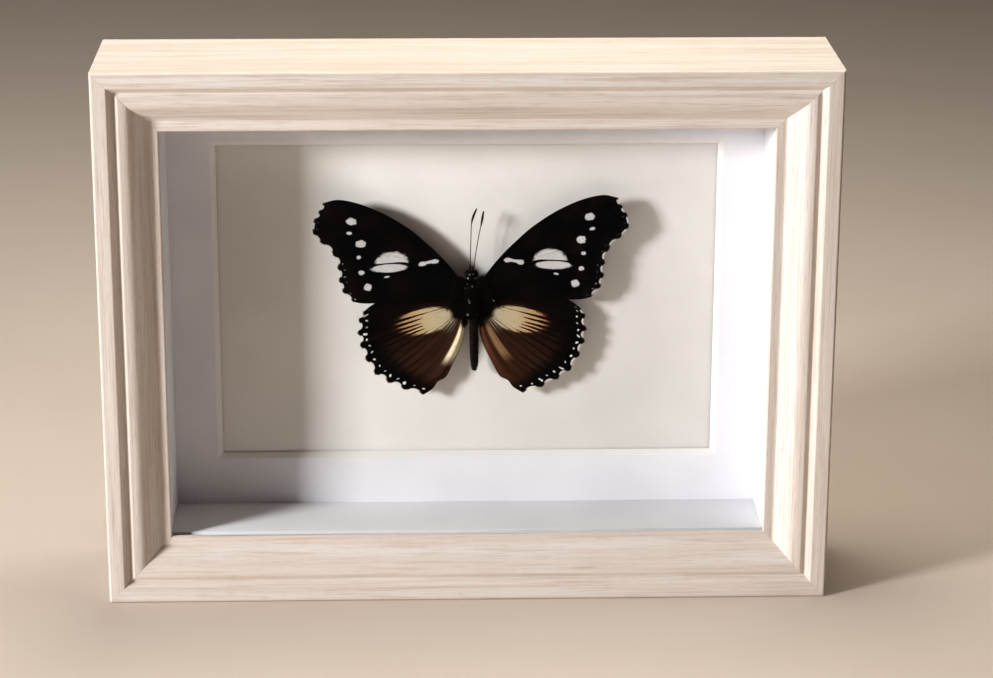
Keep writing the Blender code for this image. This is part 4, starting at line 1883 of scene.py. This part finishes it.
    def coat(self) -> None:
        """Long hair on the thorax and head, and close hair on the abdomen."""
        rng = np.random.default_rng(5)
        count = self.thorax_hairs
        up = rng.uniform(-5.5, 8.7, count)
        angle = rng.uniform(-math.pi * 1.12, math.pi * 0.12, count)
        starts, outward = self.on_skin(up, angle)
        length = rng.uniform(0.7, 1.7, count) * np.where(up > 5.4, 0.55, 1.0)
        flow = np.where(up > 6.8, 0.5, -0.8)[:, None] * np.array([0, 0, 1.0])
        way = unit(0.42 * outward + flow + rng.normal(0, 0.28, (count, 3)))
        tips = starts + way * length[:, None] + outward * 0.22
        bend = outward * (0.16 * length)[:, None]
        hairs = Hairs(starts, tips, bend, 0.03, rng.beta(1.4, 4.0, count))
        self.fur("thorax_hair", hairs, self.hair)
        count = self.abdomen_hairs
        up = rng.uniform(-21.8, -5.0, count)
        angle = rng.uniform(-math.pi, math.pi, count)
        starts, outward = self.on_skin(up, angle, 0.05)
        way = unit(0.35 * outward + np.array([0, 0, -1.0]) + rng.normal(0, 0.15, (count, 3)))
        tips = starts + way * rng.uniform(0.3, 0.65, count)[:, None] + outward * 0.06
        hairs = Hairs(starts, tips, outward * 0.04, 0.028, rng.beta(1.0, 6.0, count))
        self.fur("abdomen_hair", hairs, self.hair)

    def wing_base_hair(self) -> None:
        """Fans of hair that hide where the wings meet the thorax."""
        rng = np.random.default_rng(8)
        starts, tips, tints = [], [], []
        for hand in Hand:
            for fan in self.fans:
                count = fan.count
                across = rng.uniform(*fan.across, count)
                back = fan.back + rng.uniform(-0.25, 0.1, count)
                start = np.column_stack([across, back, rng.uniform(*fan.up, count)])
                angle = np.radians(rng.uniform(*fan.turn, count) + rng.normal(0, 6, count))
                size = rng.uniform(*fan.length, count)
                tilt = rng.normal(-0.02, 0.05, count)
                tip = start + np.column_stack([np.cos(angle), tilt, np.sin(angle)]) * size[:, None]
                start[:, 0] *= hand.value
                tip[:, 0] *= hand.value
                starts.append(start)
                tips.append(tip)
                tints.append(rng.beta(1.3, 3.5, count))
        starts, tips = np.vstack(starts), np.vstack(tips)
        bend = np.tile((0.0, -0.14, 0.0), (len(starts), 1))
        hairs = Hairs(starts, tips, bend, 0.03, np.concatenate(tints))
        self.fur("wing_base_hair", hairs, self.brown_hair)

    def dot_tufts(self) -> None:
        """White tufts on the head and thorax."""
        rng = np.random.default_rng(21)
        starts, tips = [], []
        for across, up, size in self.dots:
            count = int(1100 * size * size) + 6
            turn = rng.uniform(0, 2 * math.pi, count)
            reach = size * np.sqrt(rng.uniform(0, 1, count))
            wide, deep = self.radii(np.array([up]))
            share = min(abs(across) / wide[0], 0.95)
            on_body = abs(across) < wide[0]
            front = self.behind - deep[0] * math.sqrt(1 - share**2) if on_body else 0.0
            back = np.full(count, front - 0.1)
            start = np.column_stack([across + reach * np.cos(turn), back, up + reach * np.sin(turn)])
            away = np.array([0.3 * across / wide[0], -0.75, -0.25])
            length = rng.uniform(0.45, 0.75, count)[:, None]
            tip = start + away * length + rng.normal(0, 0.04, (count, 3))
            starts.append(start)
            tips.append(tip)
        starts, tips = np.vstack(starts), np.vstack(tips)
        tints = rng.uniform(0, 1, len(starts))
        hairs = Hairs(starts, tips, np.zeros_like(starts), 0.045, tints)
        self.fur("white_tufts", hairs, self.white_hair)

    def ball(self, centre: Point3, radii: Point3, rings: int = 18) -> Solid:
        """An ellipsoid.

        Args:
            centre: Its middle, in millimetres.
            radii: Its three radii.
            rings: Rings from pole to pole.

        Returns:
            Points, quads and triangles.
        """
        sides = 2 * rings
        fall = np.linspace(0, math.pi, rings + 2)[1:-1]
        turn = np.linspace(0, 2 * math.pi, sides, endpoint=False)
        ring = np.stack(
            [
                np.sin(fall)[:, None] * np.cos(turn),
                np.sin(fall)[:, None] * np.sin(turn),
                np.cos(fall)[:, None] * np.ones(sides),
            ],
            -1,
        ).reshape(-1, 3)
        points = np.vstack([ring, [(0, 0, 1)], [(0, 0, -1)]]) * np.array(radii) + np.array(centre)
        return points, *capped_faces(rings, sides)

    def eyes(self) -> None:
        """Two bulging compound eyes."""
        for hand in Hand:
            ball = self.ball((1.12 * hand.value, 0.95, 7.75), (0.62, 0.72, 0.78))
            self.place(f"eye_{hand.name.lower()}", ball, self.eye)

    def tube(self, route: np.ndarray, radii: np.ndarray, sides: int = 10) -> Solid:
        """A closed tube along a route.

        Args:
            route: Points along the middle, in millimetres.
            radii: Radius at each.
            sides: Facets round it.

        Returns:
            Points, quads and triangles.
        """
        ring = rings_about(unit(np.gradient(route, axis=0)), (0.05, 1.0, 0.02), sides)
        points = (route[:, None] + ring * radii[:, None, None]).reshape(-1, 3)
        return np.vstack([points, route[0], route[-1]]), *capped_faces(len(route), sides)

    def feelers(self) -> None:
        """Two ringed feelers that thicken into clubs."""
        for hand, points in FEELER_ROUTES.items():
            flat = smooth_route(points, 420)
            share = np.linspace(0, 1, len(flat))
            back = 0.35 * np.sin(math.pi * share) - 0.4 * share + 0.1
            route = np.column_stack([flat[:, 0], back, flat[:, 1]])
            club = np.clip((share - 0.72) / 0.28, 0, 1)
            radii = 0.115 + 0.2 * np.sin(np.pi * club * 0.88) ** 1.4
            radii *= 1 + 0.1 * np.abs(np.cos(share * math.pi * 46)) ** 3
            radii[-4:] *= (0.95, 0.85, 0.65, 0.4)
            name = hand.name.lower()
            self.place(f"feeler_{name}", self.tube(route, radii), self.skin, [f"antenna_{name}"])

    def mouthparts(self) -> None:
        """Two hairy palps in front of the head and the coiled tongue between them."""
        rng = np.random.default_rng(33)
        starts, tips = [], []
        for hand in Hand:
            route = smooth_route(PALP_ROUTE, 26)
            route[:, 0] *= hand.value
            share = np.linspace(0, 1, len(route))
            palp = self.tube(route, 0.24 * (1 - 0.7 * share))
            self.place(f"palp_{hand.name.lower()}", palp, self.skin)
            pick = rng.integers(0, len(route), self.palp_hairs)
            aside = unit(rng.normal(0, 1, (self.palp_hairs, 3)))
            start = route[pick] + aside * 0.1
            starts.append(start)
            tips.append(start + aside * 0.26 + np.array([0, -0.05, 0.34]))
        starts, tips = np.vstack(starts), np.vstack(tips)
        tints = rng.beta(1.3, 3.0, len(starts))
        self.fur("palp_hair", Hairs(starts, tips, np.zeros_like(starts), 0.026, tints), self.hair)
        turn = np.linspace(0, self.tongue_turns * 2 * math.pi, 150)
        reach = 0.62 - 0.032 * turn
        sideways = np.full(len(turn), 0.02)
        coil = np.column_stack([sideways, 1.75 + reach * np.cos(turn), 8.1 + reach * np.sin(turn)])
        tongue = self.tube(coil, np.linspace(0.1, 0.06, len(turn)), 8)
        self.place("coiled_tongue", tongue, self.skin)

    def legs(self) -> None:
        """Four walking legs folded under the thorax."""
        share = np.linspace(0, 1, 12, endpoint=False)
        taper = 1.05 - 0.35 * share + 0.12 * np.exp(-((share - 0.9) ** 2) / 0.01)
        for hand in Hand:
            for number, fold in enumerate(LEG_FOLDS, 1):
                knees = np.array(fold) * np.array([hand.value, 1.0, 1.0])
                spans = zip(knees, knees[1:])
                route = [one + (other - one) * share[:, None] for one, other in spans]
                route = np.vstack([*route, knees[-1:]])
                radii = np.concatenate([*(thick * taper for thick in LEG_RADII), [0.05]])
                inner = (route[:-2] + route[1:-1] * 2 + route[2:]) / 4
                soft = np.vstack([route[:1], inner, route[-1:]])
                self.place(f"leg_{hand.name.lower()}_{number}", self.tube(soft, radii, 8), self.skin)

    def build(self) -> None:
        """Builds every part of the body."""
        self.core()
        self.coat()
        self.wing_base_hair()
        self.dot_tufts()
        self.eyes()
        self.feelers()
        self.mouthparts()
        self.legs()


@dataclass
class Butterfly:
    """The whole specimen."""

    perch: Perch = field(default_factory=Perch.from_frame)

    def build(self) -> None:
        """Builds the wings and the body."""
        # Both folds have pale scales; the left tint is brightened as a painted highlight and the right
        # tint darkened as painted shade.
        folds = {
            Hand.LEFT: InnerFold(7.3, 8.02, tone(250, 232, 200), tone(84, 54, 41)),
            Hand.RIGHT: InnerFold(6.62, 7.36, tone(152, 120, 90), tone(100, 62, 46)),
        }
        for hand in Hand:
            Wing(FOREWING, hand, self.perch, ForewingScales(hand).material()).build()
            Wing(HINDWING, hand, self.perch, HindwingScales(hand, folds[hand]).material()).build()
        Body(
            perch=self.perch,
            skin=Chitin("black_chitin", tone(15, 10, 8), tone(44, 27, 18)).material(),
            hair=Hair("black_hair", tone(9, 8, 8), tone(42, 33, 28)).material(),
            brown_hair=Hair("brown_black_hair", tone(9, 8, 7), tone(38, 27, 21)).material(),
            white_hair=Hair("white_hair", tone(216, 214, 210), tone(244, 243, 240)).material(),
            eye=Chitin("eye_brown", tone(34, 22, 18), tone(70, 44, 34), 0.12).material(),
        ).build()


# ---------------------------------------------------------------- the studio


@dataclass(frozen=True)
class Lamp:
    """A square soft light aimed at the object."""

    name: str
    way: Point3  # from the object to the light
    far: float
    size: float
    power: float
    colour: Point3


@dataclass
class Studio:
    """Pale floor, soft lights and the camera."""

    aim: Vector
    eye: Vector = field(default_factory=lambda: Vector((-0.01774, -0.80782, 0.33978)))
    yaw: float = -0.0325
    pitch: float = 0.3191
    roll: float = 0.0035
    lens: float = 106.4
    lamps: tuple[Lamp, ...] = (
        Lamp("key", (-1.68, -1.0, 0.52), 1.7, 0.3, 38.5, (1.0, 0.985, 0.975)),
        Lamp("top", (0.03, 0.12, 1.0), 0.55, 0.3, 3.2, (1.0, 0.94, 0.82)),
        Lamp("fill", (0.9, -1.0, 0.5), 1.8, 1.2, 0.22, (1.0, 0.97, 0.94)),
    )
    sky: float = 0.06
    exposure: float = -0.38

    def floor(self) -> None:
        """A wide pale surface to stand on."""
        half = 6.0
        points = np.array([(-half, -half, 0), (half, -half, 0), (half, half, 0), (-half, half, 0)])
        mesh = bpy.data.meshes.new("floor")
        mesh.from_pydata(points.tolist(), [], [(0, 1, 2, 3)])
        paint = Paint("pale_floor", Specular_IOR_Level=0.3)
        where = paint.place()
        cloud = paint.noise(where, 14.0, 4.0)
        fine = paint.noise(where, 900.0, 2.0)
        paint.set(
            Base_Color=paint.blend(cloud, tone(213, 201, 191), tone(221, 210, 201)),
            Roughness=paint.span(fine, 0.2, 0.8, 0.55, 0.75),
        )
        mesh.materials.append(paint.material)
        floor = bpy.data.objects.new("floor", mesh)
        bpy.context.scene.collection.objects.link(floor)

    def lamp(self, plan: Lamp) -> None:
        """Sets one light up.

        Args:
            plan: The light.
        """
        light = bpy.data.lights.new(plan.name, "AREA")
        light.energy = plan.power
        light.size = plan.size
        light.color = plan.colour
        lamp = bpy.data.objects.new(plan.name, light)
        way = Vector(plan.way)
        lamp.location = self.aim + way.normalized() * plan.far
        lamp.rotation_mode = "QUATERNION"
        lamp.rotation_quaternion = (-way).to_track_quat("-Z", "Y")
        bpy.context.scene.collection.objects.link(lamp)

    def world(self) -> None:
        """Even light from all round."""
        world = bpy.data.worlds.new("studio")
        world.use_nodes = True
        background = world.node_tree.nodes["Background"]
        background.inputs["Color"].default_value = (1.0, 0.7, 0.48, 1.0)
        background.inputs["Strength"].default_value = self.sky
        bpy.context.scene.world = world

    def camera(self) -> None:
        """A camera at the level and angle from which the frame is seen."""
        data = bpy.data.cameras.new("camera")
        data.lens = self.lens
        data.sensor_width = 36.0
        forward = Vector(
            (
                -math.sin(self.yaw) * math.cos(self.pitch),
                math.cos(self.yaw) * math.cos(self.pitch),
                -math.sin(self.pitch),
            )
        )
        level = Vector((math.cos(self.yaw), math.sin(self.yaw), 0.0))
        rise = level.cross(forward)
        right = level * math.cos(self.roll) + rise * math.sin(self.roll)
        up = rise * math.cos(self.roll) - level * math.sin(self.roll)
        matrix = Matrix((right, up, -forward)).transposed().to_4x4()
        matrix.translation = self.eye
        camera = bpy.data.objects.new("camera", data)
        camera.matrix_world = matrix
        bpy.context.scene.collection.objects.link(camera)
        bpy.context.scene.camera = camera

    def build(self) -> None:
        """Sets the whole studio up."""
        self.floor()
        self.world()
        self.camera()
        for plan in self.lamps:
            self.lamp(plan)
        view = bpy.context.scene.view_settings
        view.view_transform = "Standard"
        view.look = "Medium High Contrast"
        view.exposure = self.exposure


def main() -> None:
    """Builds the frame, the specimen and the studio in order."""
    logging.basicConfig(level=logging.INFO, format="%(message)s", stream=sys.stdout)
    low, high = CAD_BOX
    Studio(aim=(low + high) / 2).build()
    Moulding(WhitewashedWood().material(), low, high).build()
    Glazing(PictureGlass().material()).build()
    boards = (
        Board("liner_board", tone(244, 243, 246), tone(238, 237, 241), tone(245, 244, 245)),
        Board("mat_board", tone(245, 243, 248), tone(239, 237, 243), tone(243, 240, 238)),
        Board("backing_card", tone(244, 240, 237), tone(238, 234, 231), tone(246, 243, 241)),
    )
    Stack(*(board.material() for board in boards)).build()
    BackFittings(Hardboard().material(), ZincSteel().material(), Cork().material()).build()
    Butterfly().build()


if __name__ == "__main__":
    main()
